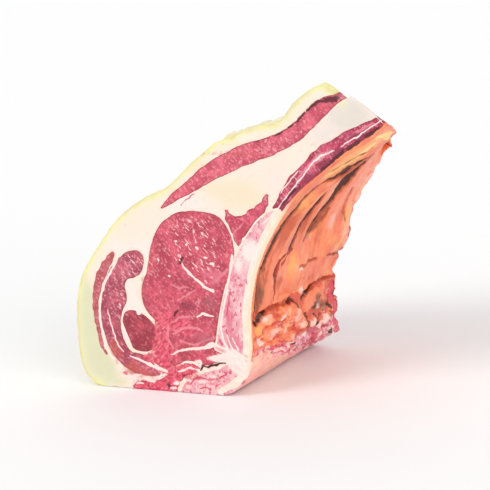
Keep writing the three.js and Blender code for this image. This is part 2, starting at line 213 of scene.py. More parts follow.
# Lines of white tissue on the cuts: (x, z, width)
WHITE_LINES = [
    [(19.5, 53, 0.5), (20, 46, 0.8), (21.5, 39.5, 0.9), (24, 29.5, 0.9), (27.5, 25, 0.5)],
    [(79.5, 89, 0.9), (82, 84, 1.4), (86, 80, 1.5), (91.5, 75.5, 1.5), (97, 71, 1.7), (102, 69.5, 2.2)],
    [(88, 51.5, 0.8), (92.5, 54, 1.4), (96, 53.5, 1.5), (100, 52.5, 0.8)],
    [(64, 25, 0.6), (72, 28.5, 1.4), (83.5, 30.5, 1.8), (91, 31.5, 2.2), (97, 34, 3.2), (100, 33.5, 1.6)],
    [(47.5, 18.5, 1.1), (52.5, 15.5, 1.7), (59.5, 14, 1.2)],
    [(81, 20.5, 1.8), (85.5, 22, 2.3), (87.5, 18, 1.8)],
    [(198.5, 161, 0.4), (194, 159.5, 0.8), (189, 157.5, 1.1), (184, 154.5, 1), (179.5, 150, 0.8),
     (175, 145, 0.6), (163.5, 133, 0.6), (155.5, 124.5, 0.7), (142.7, 113.5, 0.7)],
    [(172, 148, 0.3), (166, 142.5, 0.6), (158, 134, 0.5)],
    [(231, 179.5, 0.3), (223.5, 175, 0.6), (214, 169, 0.7), (209, 166.6, 0.5), (203.5, 163.4, 0.4)],
    [(118.7, 93, 1.3), (115, 80.5, 1.2), (111.2, 67.3, 1.3), (106.9, 56, 1.2), (104.2, 46, 1.4),
     (105.4, 37.6, 1.4), (107.5, 31, 1.5), (109.7, 24.7, 2)],
    [(108.5, 41, 0.6), (110.2, 34.6, 0.9), (112.5, 30, 0.7)],
    [(112.2, 39.3, 0.6), (115.7, 31.6, 0.8)],
    [(31, 87, 1.2), (26.3, 80, 1.5), (19.9, 72, 1.6), (15.3, 62.7, 1.7), (12.8, 53.6, 1.8), (12.1, 44.5, 1.7),
     (12.6, 34.3, 1.5), (14.1, 26.5, 1.6), (19, 20, 1.2)],
    [(32.5, 22, 0.8), (40.1, 20.2, 1.4), (47.5, 17.3, 1.6), (55, 14.9, 1.6), (59.8, 13, 1)],
    [(40, 66, 2.4), (41, 59, 3.4), (43, 52, 3)],
    [(68.6, 14, 0.9), (78, 17.3, 1.3), (89, 15.3, 1), (100.8, 18.8, 1.2)],
]

# Paler, pinker strands in the meat: (x, z, width)
PINK_LINES = [
    [(198, 161, 1.2), (191, 158.6, 3.2), (185, 155, 3.8), (178, 149, 2.6), (171, 142.5, 1.4)],
    [(226, 178, 0.8), (216, 172.6, 1.6), (206, 167.6, 1)],
    [(67.3, 46.5, 0.8), (74.8, 50.7, 1.4), (86.3, 51.9, 0.9)],
    [(68.4, 39.9, 0.8), (79.1, 44.3, 1.6), (86.6, 44.2, 1.4), (91.3, 42.2, 0.9)],
    [(65, 43, 1), (62.8, 36.2, 1.8), (67, 29.8, 1.2)],
    [(72.8, 35.1, 0.8), (82.6, 32.9, 1.3), (94.4, 36.9, 1.3), (102.1, 39.6, 0.8)],
    [(87.4, 60.8, 0.8), (91.4, 63.1, 1.4), (88.3, 57.5, 0.9)],
    [(75.1, 62.3, 0.7), (81.8, 65.9, 1), (88.5, 69.5, 0.7)],
    [(72.5, 72.1, 0.7), (77.3, 70.1, 1), (83.7, 71, 0.7)],
    [(104, 76, 0.8), (109, 79, 1.6), (114, 84, 0.9)],
    [(118, 101, 0.4), (122, 108, 0.8), (129, 114, 0.5)],
]

# Thin lines of blood in the bones and the fat: (x, z, width)
RED_LINES = [
    [(84.5, 124.6, 0.3), (90, 128.6, 0.5), (95.5, 132, 0.4)],
    [(126.8, 78, 0.6), (126.8, 75, 0.8)],
    [(114.5, 71, 0.6), (112, 61, 0.9), (109.6, 54, 0.7)],
    [(108.4, 44.3, 0.6), (109.7, 36.5, 0.9), (111.8, 30, 0.7)],
    [(76.7, 5.8, 0.8), (80, 9.5, 1.3), (85, 11, 1.3), (91, 10, 1), (96, 10.5, 1.4), (104, 14.4, 0.9)],
    [(84, 3.5, 0.8), (87.8, 4.6, 1.2), (92, 3.5, 0.9)],
    [(57, 6, 0.9), (62, 3.5, 1.4), (67, 5, 1)],
]

# The dense cream wall at the backbone's corner: (x, z, width)
CORNER_WALL = [(98, 2.5, 3), (111, 9, 5), (121.5, 19, 6), (126.5, 28, 5)]

# Dark lines and cracks on the cuts: how deep the knife or tear went, and (x, z, width)
DARK_LINES = [
    (0.9, [(69.5, 51, 1), (71.5, 53.5, 1.5), (73.5, 55, 0.8)]),
    (2, [(85.5, 16, 0.8), (87.5, 19, 1.4), (90.5, 17.8, 1.1), (93, 19.2, 1.2), (97, 20, 1.3),
         (100, 21.3, 0.9), (104, 21.6, 0.5)]),
    (0.4, [(172.5, 139.5, 1), (164.5, 132.5, 1.5), (157, 125, 1)]),
    (0.6, [(233, 177, 1), (223, 171, 2), (212.5, 164.8, 2.6), (205, 160.6, 2.6), (198, 156, 2.2),
           (191, 150.8, 1.4), (184.5, 145.6, 1.1), (178, 140, 0.7)]),
    (0.2, [(144, 165.8, 0.4), (152, 167.2, 0.8), (160.5, 170, 1), (169.5, 175, 1.2), (177, 180.6, 1.4),
           (183, 186, 1.6), (189, 190, 2), (195, 191.5, 3), (202, 192, 2.8)]),
    (0.3, [(79.5, 86.5, 1.6), (82, 90.5, 1.4)]),
]

# The hollow side's grooves: how deep, how dark the painted shade on their walls is, and (up the hollow side,
# depth in the steak, width). All that follows here for the hollow side is placed like this.
HOLLOW_GROOVES = [
    (1.1, 0.35, [(52, 9.5, 3), (57.5, 9, 4), (67, 8.5, 4), (76, 9, 3.6), (86, 8.5, 3)]),
    (1.2, 0.95, [(82, 8.5, 2), (90, 9, 3), (98, 9.5, 3.2), (106, 10.5, 3.2), (115, 12.5, 2.8),
                 (126, 13.5, 2.4), (141, 12.5, 2), (152, 13, 1.4)]),
    (0.7, 0.95, [(48, 5, 0.7), (56, 5, 0.9), (67, 5, 0.9), (86, 5.5, 0.9), (105, 7.5, 0.9), (126, 11, 0.8)]),
    (1.6, 1.15, [(90, 38.5, 4.6), (96, 40, 5.2), (102, 42, 4.4), (108.5, 46, 3.4), (115, 48, 2.8),
                 (123, 49, 2.2), (130.5, 49, 1.2)]),
    (2.2, 1.4, [(93, 65, 2), (99, 67, 4), (105, 68, 5.6), (111.5, 70, 6.6), (116, 73, 6.6), (122, 77, 6),
                (129, 79, 5.4), (138, 79.5, 4.2), (146, 80, 2.8)]),
    (0.6, 0.7, [(88, 58, 2), (93, 62, 5), (99, 66, 8), (107, 70, 8), (115, 74, 5)]),
    (1.2, 0.6, [(90, 67, 1.4), (98, 73, 1.6), (107, 76, 1.2)]),
    (1.8, 1.1, [(154, 14, 1.4), (160, 18, 2.2), (170, 19, 2.6), (179, 21, 2.4), (187, 25, 1.6),
                (194, 32, 1)]),
    (1.8, 1.1, [(150, 79, 1.6), (153, 79, 2.6), (157, 89, 3), (161, 98.5, 2.6), (164, 106, 1.6)]),
    (0.8, 0.6, [(168, 8, 1), (176, 11, 1.6), (186, 13, 1.6), (196, 16, 1)]),
    (1.4, 1, [(142, 80, 1.6), (144, 81, 2.4), (147.5, 82, 1)]),
    (1.6, 0.7, [(88, 34, 0.8), (84, 25.5, 1.6), (79, 24, 2.2), (71, 25, 2.6), (65, 26, 2), (57, 29, 1.2)]),
    (0.9, 0.6, [(87, 41.5, 0.8), (85, 36.5, 1.1), (80, 31.5, 1)]),
    (2.2, 1, [(46, 6.5, 1.4), (50, 11.5, 2), (52.5, 17.5, 1.8)]),
    (1.8, 0.45, [(52.5, 17.5, 1.4), (50.5, 27, 1), (49.5, 39, 1), (48.5, 47, 1)]),
    (2, 0.9, [(48.5, 47, 1), (49.5, 51.5, 1.4), (43.5, 56, 1.6)]),
    (2.2, 1, [(46.5, 63, 1.6), (49, 72, 2.2), (51.5, 79, 1.4)]),
    (1.7, 0.5, [(51.5, 79, 1.4), (52, 89, 1), (49.5, 104, 1), (49, 112, 1.2)]),
    (1.8, 0.9, [(34.5, 67, 1.4), (30, 71, 1.8), (25.5, 73, 1.6)]),
    (1.8, 0.8, [(23, 84, 1.2), (25.5, 90, 1.4), (31, 99, 1.6), (34, 106, 1.2)]),
    (1.6, 0.9, [(20, 94, 1), (17, 99, 1.5), (13, 102.5, 1.5)]),
    (1.4, 0.5, [(72, 54, 0.8), (72.5, 62, 1), (71, 69, 1), (69, 80, 0.8)]),
    (1.6, 0.6, [(70, 92, 0.8), (68, 103, 1.6), (66, 113, 2)]),
    (1.2, 0.45, [(122, 92, 0.8), (112, 95, 1.4), (102, 94, 1.4), (94, 100, 1)]),
]

# Streaks of blood on it: (up, depth, width)
BLOOD_LINES = [
    [(88, 34, 2), (84, 26, 4), (78, 24, 5.4), (71, 25, 6.2), (64, 27, 5), (56, 29, 2.6)],
    [(87, 42, 2), (85, 36, 3), (80, 31, 2)],
    [(70, 110, 2), (68, 114, 3)],
    [(95, 110, 1.4), (88, 112, 2.4), (80, 110, 1.4)],
    [(44, 112, 2), (36, 113, 3), (28, 112, 2)],
]

# Its broad swells and dips: (up, depth, reach up, reach in depth, height)
HOLLOW_LUMPS = [
    (191, 11, 20, 9, 1.6), (168, 9, 14, 6, 0.8), (73, 16, 30, 5, 1.3), (121, 60, 18, 5, 2),
    (103, 53, 12, 5, 1.2), (72, 40, 16, 8, 0.9), (72, 60, 18, 11, 0.9), (124, 98, 22, 12, 1.8),
    (86, 99, 14, 8, 1.6), (36, 88, 8, 9, -0.6), (100, 84, 14, 8, 1), (130, 30, 20, 10, 0.8),
    (126, 115, 20, 9, 2.6), (108, 115, 12, 8, 2.2), (78, 115, 9, 9, 4.2), (40, 115, 5, 7, 2.6),
    (8, 108, 12, 12, 2.6), (196, 44, 12, 26, -2.2), (163, 92, 17, 17, -3.2), (158, 106, 16, 13, -2.6),
    (150, 111, 13, 11, -2.4),
]

# Rounded lumps of fat and meat low down, with creases between: (up, depth, reach up, reach in depth, height)
HOLLOW_PEBBLES = [
    (46.5, 15, 5, 8, 3.4), (45.5, 43, 4.6, 12, 3.2), (44, 31, 2.4, 4.5, 3.8), (42, 8, 4.5, 6, 2.8),
    (36.5, 22, 5, 8, 3.4), (38.5, 52, 5.5, 8, 3.2), (35, 39, 4, 7, 3), (24, 50, 5, 8, 3.4),
    (30, 64, 5.5, 7, 3), (32, 9, 4, 6, 2.4), (26, 28, 4.5, 7, 3), (25, 79, 4, 7, 3), (12, 111, 6, 6, 2.4),
    (42, 81, 7.5, 13, 2.8), (29, 109, 8, 6, 2.4), (38, 68, 6, 5, 2.6), (18, 61, 4.5, 6, 2.8),
    (16, 76, 4, 6, 2.4), (13.5, 92, 4.5, 6, 2.6), (22, 99, 4.5, 5, 2.6), (24, 13, 4, 6, 2.2),
    (28, 40, 3, 5, 2.4), (17, 43, 4, 6, 2.6), (33, 97, 6, 6, 1.8), (20, 70, 3, 4, 2.2), (20, 32, 3, 5, 2),
    (7, 100, 4, 6, 2.2),
]

# The top edge of the backbone's smooth side, which the torn hem of the lining hangs over: (depth, up)
HEM = np.array([(0, 24), (8, 24), (12, 25), (29, 19), (56, 9), (83, 0), (114, -5)], float)

# Torn and ragged places on the cuts: (x, z, reach along x, reach along z, strength)
RAGGED = [
    (48, 3, 20, 6, 1), (75, 10, 14, 9, 1), (98, 12, 16, 10, 0.9), (62, 24, 8, 12, 0.8), (74, 45, 10, 9, 0.6),
    (60, 38, 5, 12, 0.9), (28, 9, 10, 5, 0.6), (112, 20, 8, 8, 0.7),
]

# Stains on the cuts: (x, z, reach along x, reach along z, strength)
CUT_SPOTS = {
    "flecked": [
        (90, 100, 26, 20, 1.2), (100, 82, 14, 14, 0.6), (48, 84, 14, 14, 1), (30, 60, 10, 20, 0.8),
        (48, 50, 10, 10, 0.5), (60, 14, 30, 8, 0.4), (100, 50, 14, 20, 0.3), (160, 150, 60, 30, 0.6),
    ],
    "sallow": [
        (0, 34, 15, 34, 1.2), (8, 12, 16, 14, 1.2), (1, 66, 12, 16, 0.7), (24, 4, 10, 5, 0.5),
        (14, 92, 16, 14, 0.35), (36, 112, 20, 12, 0.3),
    ],
    "raw": [
        (61, 42, 5, 12, 1), (59, 27, 8, 9, 0.8), (74, 46, 12, 7, 0.8), (66, 52, 5, 6, 0.5),
        (72, 14, 12, 6, 0.9), (40, 3, 8, 4, 1), (59, 4, 5, 5, 1.1), (84, 40, 12, 7, 0.4),
        (112, 78, 8, 7, 0.5), (48, 22, 8, 4, 0.5), (27, 10, 3, 2, 0.8), (60, 14, 6, 5, 0.8),
        (88, 24, 18, 4, 0.4), (196, 164, 24, 3, 0.3), (57.5, 45, 3, 5, 1.5), (57.5, 37, 3, 6, 1.8),
        (54.5, 28, 4, 5, 1.6), (49, 22.5, 5, 3, 0.9), (59, 19, 4, 7, 1.4),
    ],
    "flushed": [
        (111, 52, 5, 16, 0.75), (104, 79, 12, 8, 0.6), (114, 35, 6, 8, 0.8), (120, 72, 5, 10, 0.4),
        (84, 8, 8, 4, 0.4),
    ],
    "rusty": [
        (22, 27, 6, 10, 0.8), (34, 14, 9, 6, 1), (46, 9, 8, 5, 0.8), (60, 60, 12, 8, 0.3),
        (130, 158, 40, 3, 0.4),
    ],
    "dull": [(98, 61, 9, 7, 0.7), (90, 38, 14, 7, 0.55), (50, 72, 4, 10, 0.5), (104, 95, 9, 12, 0.3)],
    "dark": [(78, 60, 10, 2.5, 0.3), (60, 4, 2, 2, 0.8), (200, 191, 5, 3, 0.4)],
    "maroon": [
        (218, 169, 14, 3.5, 1), (204, 159, 10, 4, 1), (194, 151.5, 10, 4.5, 1.1), (183, 143, 10, 4.5, 1.1),
        (173, 135, 9, 4, 1), (163, 126, 8, 4, 1), (155, 118, 7, 4, 0.9), (148, 110, 5, 4, 0.7),
        (82, 58, 12, 4, 0.5),
    ],
    "white": [
        (107, 24, 9, 3, 0.7), (114, 20, 9, 7, 0.9), (94, 12, 8, 3, 0.5), (86, 8, 9, 2, 0.5),
        (74, 8, 4, 2, 0.6), (108, 25.5, 11, 3.6, 1), (96, 24.5, 7, 2, 0.6), (47, 6, 3, 1.4, 1),
        (57, 11, 3, 1.1, 0.9), (63, 2.5, 4, 1.2, 0.8), (38, 4, 4, 1.2, 0.7), (133, 96, 10, 11, 0.8),
        (122, 86, 6, 9, 0.5), (112, 29, 7, 5, 0.6), (44, 8, 6, 2.5, 0.7), (31, 5, 5, 2, 0.5),
        (52, 9, 4, 1.6, 0.8), (66, 6, 4, 2, 0.8), (36, 10, 5, 1.5, 0.7), (93.5, 97, 1.6, 1.2, 1),
        (99, 91, 2.2, 1, 1), (103, 87, 2, 1.1, 0.9), (86, 99, 1.5, 1, 0.8), (78, 101, 2, 0.8, 0.8),
        (70, 78, 2, 1, 0.7), (63, 88, 1.2, 2, 0.7),
    ],
    "cream": [
        (128, 131, 26, 14, 1), (108, 137, 14, 7, 0.5), (90, 146, 20, 5, 0.4), (4, 60, 6, 30, 0.4),
        (101, 150.5, 20, 4, 0.9), (78, 134.5, 14, 4, 0.7), (130, 164, 14, 2.4, 0.7),
    ],
    "pinkish": [
        (157, 142, 14, 20, 0.5), (46, 118, 22, 9, 0.25), (30, 8, 10, 4, 0.7), (122, 110, 8, 8, 0.3),
        (28, 50, 9, 34, 0.8), (112, 96, 6, 14, 0.7),
    ],
    "grey": [(210, 183, 20, 14, 1.2), (190, 168, 16, 10, 0.5), (30, 104, 12, 6, 0.2)],
}

# Stains of the hollow side: (up, depth, reach up, reach in depth, strength)
HOLLOW_SPOTS = {
    # Brown in the folds and crevices: partly old blood and drying, partly painted shade
    "drying_and_shade": [
        (64, 9, 15, 6, 0.85), (84, 9, 9, 4, 0.5), (38, 84, 8, 6, 0.9), (33, 95, 7, 6, 0.7),
        (24, 103, 5, 5, 0.5), (98, 65, 9, 9, 1.4), (112, 71, 9, 6, 0.9), (94, 40, 8, 5, 1.1),
    ],
    "yellow": [
        (192, 8, 26, 10, 1.3), (97, 104, 12, 7, 0.9), (76, 100, 9, 6, 0.7), (76, 46, 14, 8, 0.6),
        (168, 11, 14, 6, 0.9), (41, 9, 5, 6, 0.8), (34, 39, 4, 5, 0.6), (132, 16, 16, 6, 0.6),
        (31, 50, 4, 4, 0.5),
    ],
    # Light yellow: painted highlight along the top fold, as far as the rib end
    "fold_highlight": [
        (186, 11, 9, 3, 1.2), (198, 10, 7, 3, 1.2), (175, 12, 7, 2.4, 0.9), (165, 9, 9, 2, 0.6),
        (210, 7, 3, 6, 1.2), (211, 14, 3, 5, 1.4), (206, 18, 3, 4, 0.8),
    ],
    "salmon": [
        (122, 92, 26, 18, 1), (117, 58, 16, 4, 1), (75, 17, 24, 4, 0.9), (58, 66, 8, 8, 0.6),
        (43, 80, 7, 14, 0.8), (145, 94, 18, 22, 0.35), (178, 50, 20, 26, 0.25), (38, 66, 6, 6, 0.7),
    ],
    "meaty": [
        (24, 34, 5, 9, 0.6), (12, 88, 5, 14, 1), (23, 76, 5, 6, 0.6), (20, 19, 5, 8, 0.6), (2, 92, 5, 8, 0.8),
        (40, 111, 7, 4, 1), (64, 112, 4, 3, 1), (29, 109, 9, 5, 1), (22, 56, 6, 8, 0.5), (34, 26, 4, 4, 0.4),
        (204, 60, 12, 30, 0.6), (15, 110, 8, 5, 0.9), (88, 113, 3, 3, 0.7),
        (209, 22, 3, 2.6, 1.4),
    ],
    # Pale spots: white bits, and painted highlights on the wet lumps
    "pale": [
        (26, 79, 3, 5, 1.2), (20, 92, 3, 4, 1.1), (14, 105, 3, 4, 0.9), (24.5, 12, 4, 4, 0.9),
        (43.8, 31, 1.2, 3.4, 1.4), (71, 56, 1.2, 3, 0.9), (18, 5.5, 6, 4, 0.8), (53, 64, 3, 3, 0.7),
        (30, 62, 3, 4, 0.5), (33, 9, 3, 4, 0.7), (18, 42, 3, 4, 0.8), (48, 13, 2.4, 4, 0.6),
        (24, 98, 3, 4, 0.9), (13, 93, 2.5, 4, 0.8), (35, 88, 4, 4, 0.9), (30, 96, 3, 3, 0.8),
        (41, 95, 3, 3, 0.6), (36, 30, 10, 24, 0.32), (34, 56, 9, 12, 0.28),
    ],
    # Painted shade in the folds and crevices
    "shade": [
        (98, 62, 8, 8, 0.7), (128, 84, 14, 5, 0.6), (78, 15, 22, 5, 0.5), (110, 18, 26, 7, 0.6),
        (104, 47, 16, 8, 0.6), (134, 72, 16, 8, 0.8), (110, 94, 18, 4, 0.8), (121, 65, 12, 5, 0.8),
        (146, 76, 12, 7, 0.7), (172, 24, 14, 6, 0.5), (66, 33, 10, 6, 0.6), (58, 76, 6, 14, 0.4),
        (150, 88, 10, 8, 0.6), (158, 28, 20, 8, 0.6), (90, 76, 14, 6, 0.5),
    ],
    # Near-black dots: painted shade deep in the creases
    "crease_shade": [
        (31.5, 69, 3, 2, 0.8), (25.5, 74, 3, 2, 0.8), (31, 102.5, 2.5, 3, 0.8), (13, 104.5, 3, 2.5, 0.8),
        (36, 112, 3, 3, 0.6), (90.5, 38.5, 2.5, 2, 0.8), (143.5, 80.5, 2, 2.5, 1), (47.5, 65, 2.4, 3, 0.9),
        (44, 55.5, 2, 1.5, 0.8), (18, 55, 2, 2.5, 0.8), (22, 88, 2, 3, 0.8), (17, 99, 2, 2, 0.7),
        (29, 83, 2, 3, 0.6),
    ],
}

# Stains and painted light that may lie over any tissue: how strong, how torn their edge is, its size in
# millimetres, and colour. The light yellow one is a painted highlight, the near-black one painted shade deep
# in creases, and the pale one white bits with painted highlights.
STAINS_AND_PAINTED_LIGHT = (
    ("flushed", 0.75, 1.3, 2.4, (218, 112, 134)), ("rusty", 0.7, 0.9, 3, (190, 80, 70)),
    ("dull", 0.5, 0.8, 3, (168, 90, 102)), ("salmon", 0.85, 0.6, 6, (245, 138, 102)),
    ("yellow", 0.8, 0.7, 4, (254, 176, 98)), ("fold_highlight", 0.85, 0.9, 2.4, (255, 220, 140)),
    ("meaty", 0.85, 0.9, 3, (210, 72, 96)), ("maroon", 0.85, 0.8, 1.6, (140, 40, 70)),
    ("red", 0.9, 0.5, 1.2, (206, 66, 98)), ("pale", 0.9, 0.9, 1.6, (255, 216, 202)),
    ("white", 0.95, 0.4, 1.2, (253, 228, 220)), ("dark", 0.92, 1.1, 1.1, (84, 18, 30)),
    ("crease_shade", 0.92, 0.9, 1.3, (44, 16, 16)),
)
FIRST_STAIN_SEED = 11

# Each muscle's slot, its material's name, its ground colour, dark and pale fibres and how strong its flecks
# are, and where its edge is browned, the edge's colour and width
MUSCLE_LOOKS = {
    "rib_meat": ("dark_lean", "rib_meat", (206, 74, 106), (164, 40, 74), (240, 150, 168), 0.6),
    "eye_muscle": ("lean", "eye_of_the_rib", (218, 88, 108), (178, 58, 78), (242, 142, 152), 0.9),
    "cap_muscle": ("lean", "cap", (206, 100, 119), (160, 57, 79), (240, 158, 168), 0.9),
    "round_muscle": ("dark_lean", "round", (190, 68, 84), (150, 40, 58), (214, 108, 120), 0.5),
    "corner_muscle": ("lean", "corner", (224, 96, 118), (190, 62, 86), (244, 148, 160), 0.6),
    "side_muscle": ("lean", "side", (212, 112, 124), (178, 74, 84), (236, 158, 162), 0.4, (170, 84, 52), 1.2),
    "top_muscle": ("lean", "top_strip", (228, 104, 122), (192, 70, 90), (248, 156, 166), 0.5),
    "base_muscle": ("lean", "base", (236, 92, 118), (204, 52, 84), (250, 172, 182), 0.5),
}

# The nodes in the order in which they take their share of the body. The fat takes the rest. Muscles are cut
# as prisms, and the walls of the eased ones are rounded. A ragged outline strays this far, in millimetres.
MUSCLES = ("eye_muscle", "cap_muscle", "round_muscle", "corner_muscle", "side_muscle", "top_muscle",
           "base_muscle")
ORDER = ("rib_lining", "rib_bone_front", "rib_bone_back", "backbone", "rib_meat", *MUSCLES)
EASED = ("rib_bone_front", "rib_bone_back", "backbone", "rib_meat")
RAGGED_OUTLINES = {"corner_muscle": 1.0, "side_muscle": 0.5, "cap_muscle": 0.3, "base_muscle": 0.8}

# What one step leaves for the next: the body, the cutters, their walls, and the cutters already used
made = {}


def srgb(red, green, blue):
    """A colour as a screen shows it, 0 to 255, in the linear values that a shader takes."""
    def linear(c):
        c /= 255
        return c / 12.92 if c <= 0.04045 else ((c + 0.055) / 1.055) ** 2.4
    return (linear(red), linear(green), linear(blue), 1.0)


def fade(value, start, end):
    """0 below start, 1 above end and smooth between them; the other way round where start is above end."""
    t = np.clip((value - start) / (end - start), 0, 1)
    return t * t * (3 - 2 * t)


def lattice(corner, seed):
    """A number from -1 to 1 for each whole-numbered corner, the same on every run."""
    i = corner.astype(np.int64)
    h = (i[:, 0] * 374761393 + i[:, 1] * 668265263 + i[:, 2] * 1442695041 + seed * 1013904223) & 0xFFFFFFFF
    h = ((h ^ (h >> 13)) * 1274126177) & 0xFFFFFFFF
    return ((h ^ (h >> 16)) & 0xFFFF) / 32767.5 - 1


def noise(places, size, seed):
    """Smooth noise from -1 to 1 at each place, with lumps of about the given size."""
    p = places / np.asarray(size, float) + 17.3 * seed
    cell = np.floor(p)
    f = p - cell
    f = f * f * f * (f * (f * 6 - 15) + 10)
    total = np.zeros(len(p))
    for k in range(8):
        step = np.array((k & 1, k >> 1 & 1, k >> 2 & 1))
        total += np.prod(np.where(step, f, 1 - f), axis=1) * lattice(cell + step, seed)
    return total


def rough_noise(places, size, seed, octaves=3):
    """Noise with finer noise on it, each octave half as large and half as strong."""
    size = np.asarray(size, float)
    total = sum(noise(places, size / 2**k, seed + k) / 2**k for k in range(octaves))
    return total / (2 - 0.5 ** (octaves - 1))


def rippled(values, places, layers):
    """Values with layers of noise added, each with its strength, size and seed."""
    for strength, size, seed in layers:
        values = values + strength * noise(places, size, seed)
    return values


def sideways(places, size, seed_x, seed_z):
    """A wander from -1 to 1 along x and z, as rows."""
    return np.stack([noise(places, size, seed_x), np.zeros(len(places)), noise(places, size, seed_z)], axis=1)


def dot(rows, others):
    """How far each row points along the other."""
    return np.einsum("ij,ij->i", rows, others)


def near_line(line, u, v):
    """The distance of each (u, v) to a line of points, and where along it, counted in points."""
    best, at = np.full(len(u), np.inf), np.zeros(len(u))
    for i in range(len(line) - 1):
        (u0, v0), (u1, v1) = line[i][:2], line[i + 1][:2]
        du, dv = u1 - u0, v1 - v0
        t = np.clip(((u - u0) * du + (v - v0) * dv) / (du * du + dv * dv), 0, 1)
        away = np.hypot(u - u0 - t * du, v - v0 - t * dv)
        closer = away < best
        best, at = np.where(closer, away, best), np.where(closer, i + t, at)
    return best, at


def near_stroke(line, u, v):
    """The distance of each (u, v) to a line of (u, v, width), and half the line's width there."""
    away, at = near_line(line, u, v)
    return away, np.interp(at, range(len(line)), [p[2] / 2 for p in line])


def line_mask(line, u, v, soft=0.35):
    """1 on a line of (u, v, width) and 0 off it, with a soft edge."""
    away, half = near_stroke(line, u, v)
    return fade(away, half + soft, np.maximum(half - soft, 0))


def line_masks(lines, u, v, soft=0.35):
    """Several lines in one mask."""
    return sum(line_mask(line, u, v, soft) for line in lines)


def spot_mask(spots, u, v):
    """Soft spots: (u, v, reach along u, reach along v, strength)."""
    total = np.zeros(len(u))
    for su, sv, ru, rv, strength in spots:
        total += strength * np.exp(-1.5 * (((u - su) / ru) ** 2 + ((v - sv) / rv) ** 2))
    return total


def rows_of(items, key):
    """What each of a mesh's items has under a key, as rows of three."""
    rows = np.empty(len(items) * 3)
    items.foreach_get(key, rows)
    return rows.reshape(-1, 3)


def places_in(mesh):
    """The corners of a work mesh, which is in millimetres already."""
    return rows_of(mesh.vertices, "co")


def normals_of(mesh):
    """The mesh's corner normals."""
    return rows_of(mesh.vertex_normals, "vector")


def set_places(mesh, places):
    """Moves the corners of a mesh."""
    mesh.vertices.foreach_set("co", places.astype(np.float32).ravel())
    mesh.update()


def put_places(mesh, places):
    """Moves the mesh's corners to places on the steak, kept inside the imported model's box."""
    low, high = (np.array(corner) for corner in CAD_BOX)
    set_places(mesh, np.clip((places - CUT_ORIGIN) * MM, low, high))


def add_attribute(mesh, name, values):
    """Keeps a value for each corner, for the material to read."""
    attribute = mesh.attributes.new(name, "FLOAT", "POINT")
    attribute.data.foreach_set("value", np.asarray(values, np.float32))


def merged_copy(name):
    """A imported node's own faces as a bmesh in millimetres on the steak, with its loose corners merged."""
    bm = bmesh.new()
    bm.from_mesh(NODES[name].data)
    bmesh.ops.scale(bm, vec=(1 / MM,) * 3, verts=bm.verts)
    bmesh.ops.translate(bm, vec=CUT_ORIGIN, verts=bm.verts)
    bmesh.ops.remove_doubles(bm, verts=bm.verts, dist=MERGE)
    bm.normal_update()
    return bm


def smoothed(bm, factor):
    """One round of smoothing."""
    axes = {"use_axis_" + axis: True for axis in "xyz"}
    bmesh.ops.smooth_vert(bm, verts=bm.verts, factor=factor, **axes)


def added(name, data):
    """A new object in the scene."""
    obj = bpy.data.objects.new(name, data)
    bpy.context.scene.collection.objects.link(obj)
    return obj


def work_object(name, bm):
    """A bmesh as an object. The bmesh is freed."""
    mesh = bpy.data.meshes.new(name)
    bm.to_mesh(mesh)
    bm.free()
    return added(name, mesh)


def remesh(spacing):
    """The modifier that makes one even skin."""
    return "REMESH", {"mode": "VOXEL", "voxel_size": spacing}


def smoothing(rounds):
    """The modifier that smooths it."""
    return "SMOOTH", {"factor": 0.5, "iterations": rounds}


def boolean(operation, **other):
    """The modifier that cuts an object with another or with a collection."""
    return "BOOLEAN", {"operation": operation, "solver": "MANIFOLD", **other}


def modified(obj, *modifiers):
    """The mesh that an object has with modifiers on, each a kind and its settings. They come off again."""
    for kind, settings in modifiers:
        modifier = obj.modifiers.new(kind.lower(), kind)
        for key, value in settings.items():
            setattr(modifier, key, value)
    mesh = bpy.data.meshes.new_from_object(obj.evaluated_get(bpy.context.evaluated_depsgraph_get()))
    obj.modifiers.clear()
    return mesh


def discard(*objects):
    """Removes work objects and their meshes."""
    for obj in objects:
        mesh = obj.data
        bpy.data.objects.remove(obj)
        if mesh.users == 0:
            bpy.data.meshes.remove(mesh)


def on_hollow_side(places):
    """For each place: how far up the hollow side it is, how far from it, and the way out there."""
    away, at = near_line(HOLLOW_LINE, places[:, 0], places[:, 2])
    up = np.interp(at, range(len(HOLLOW)), HOLLOW_REACH)
    along = np.gradient(HOLLOW, axis=0)
    out = np.stack([np.interp(at, range(len(HOLLOW)), along[:, 1]), np.zeros(len(at)),
                    np.interp(at, range(len(HOLLOW)), -along[:, 0])], axis=1)
    return up, away, out / np.linalg.norm(out, axis=1, keepdims=True)


def hollow_grooves(up, depth):
    """How deep the hollow side's grooves are at (up, depth), and how dark the painted shade on their walls
    is.
    """
    deepest, shadiest = np.zeros(len(up)), np.zeros(len(up))
    for deep, dark, line in HOLLOW_GROOVES:
        away, half = near_stroke(line, up, depth)
        here = deep * np.exp(-((away / (half + GROOVE_SLOPE)) ** 2))
        deepest = np.maximum(deepest, here) + CROSSING * np.minimum(deepest, here)
        shadiest = np.maximum(shadiest, dark * np.exp(-((away / (half + GROOVE_SHADE_REACH)) ** 2)))
    return deepest, shadiest


def pebbles(up, depth):
    """How far the rounded lumps stand out low on the hollow side."""
    highest = np.zeros(len(up))
    for lump_up, lump_depth, reach_up, reach_depth, height in HOLLOW_PEBBLES:
        apart = ((up - lump_up) / reach_up) ** 2 + ((depth - lump_depth) / reach_depth) ** 2
        highest = np.maximum(highest, height * np.sqrt(np.clip(1 - apart, 0, 1)))
    return highest


def above_hem(up, depth):
    """How far a place is above the backbone's smooth side, in millimetres."""
    return up - np.interp(depth, HEM[:, 0], HEM[:, 1])


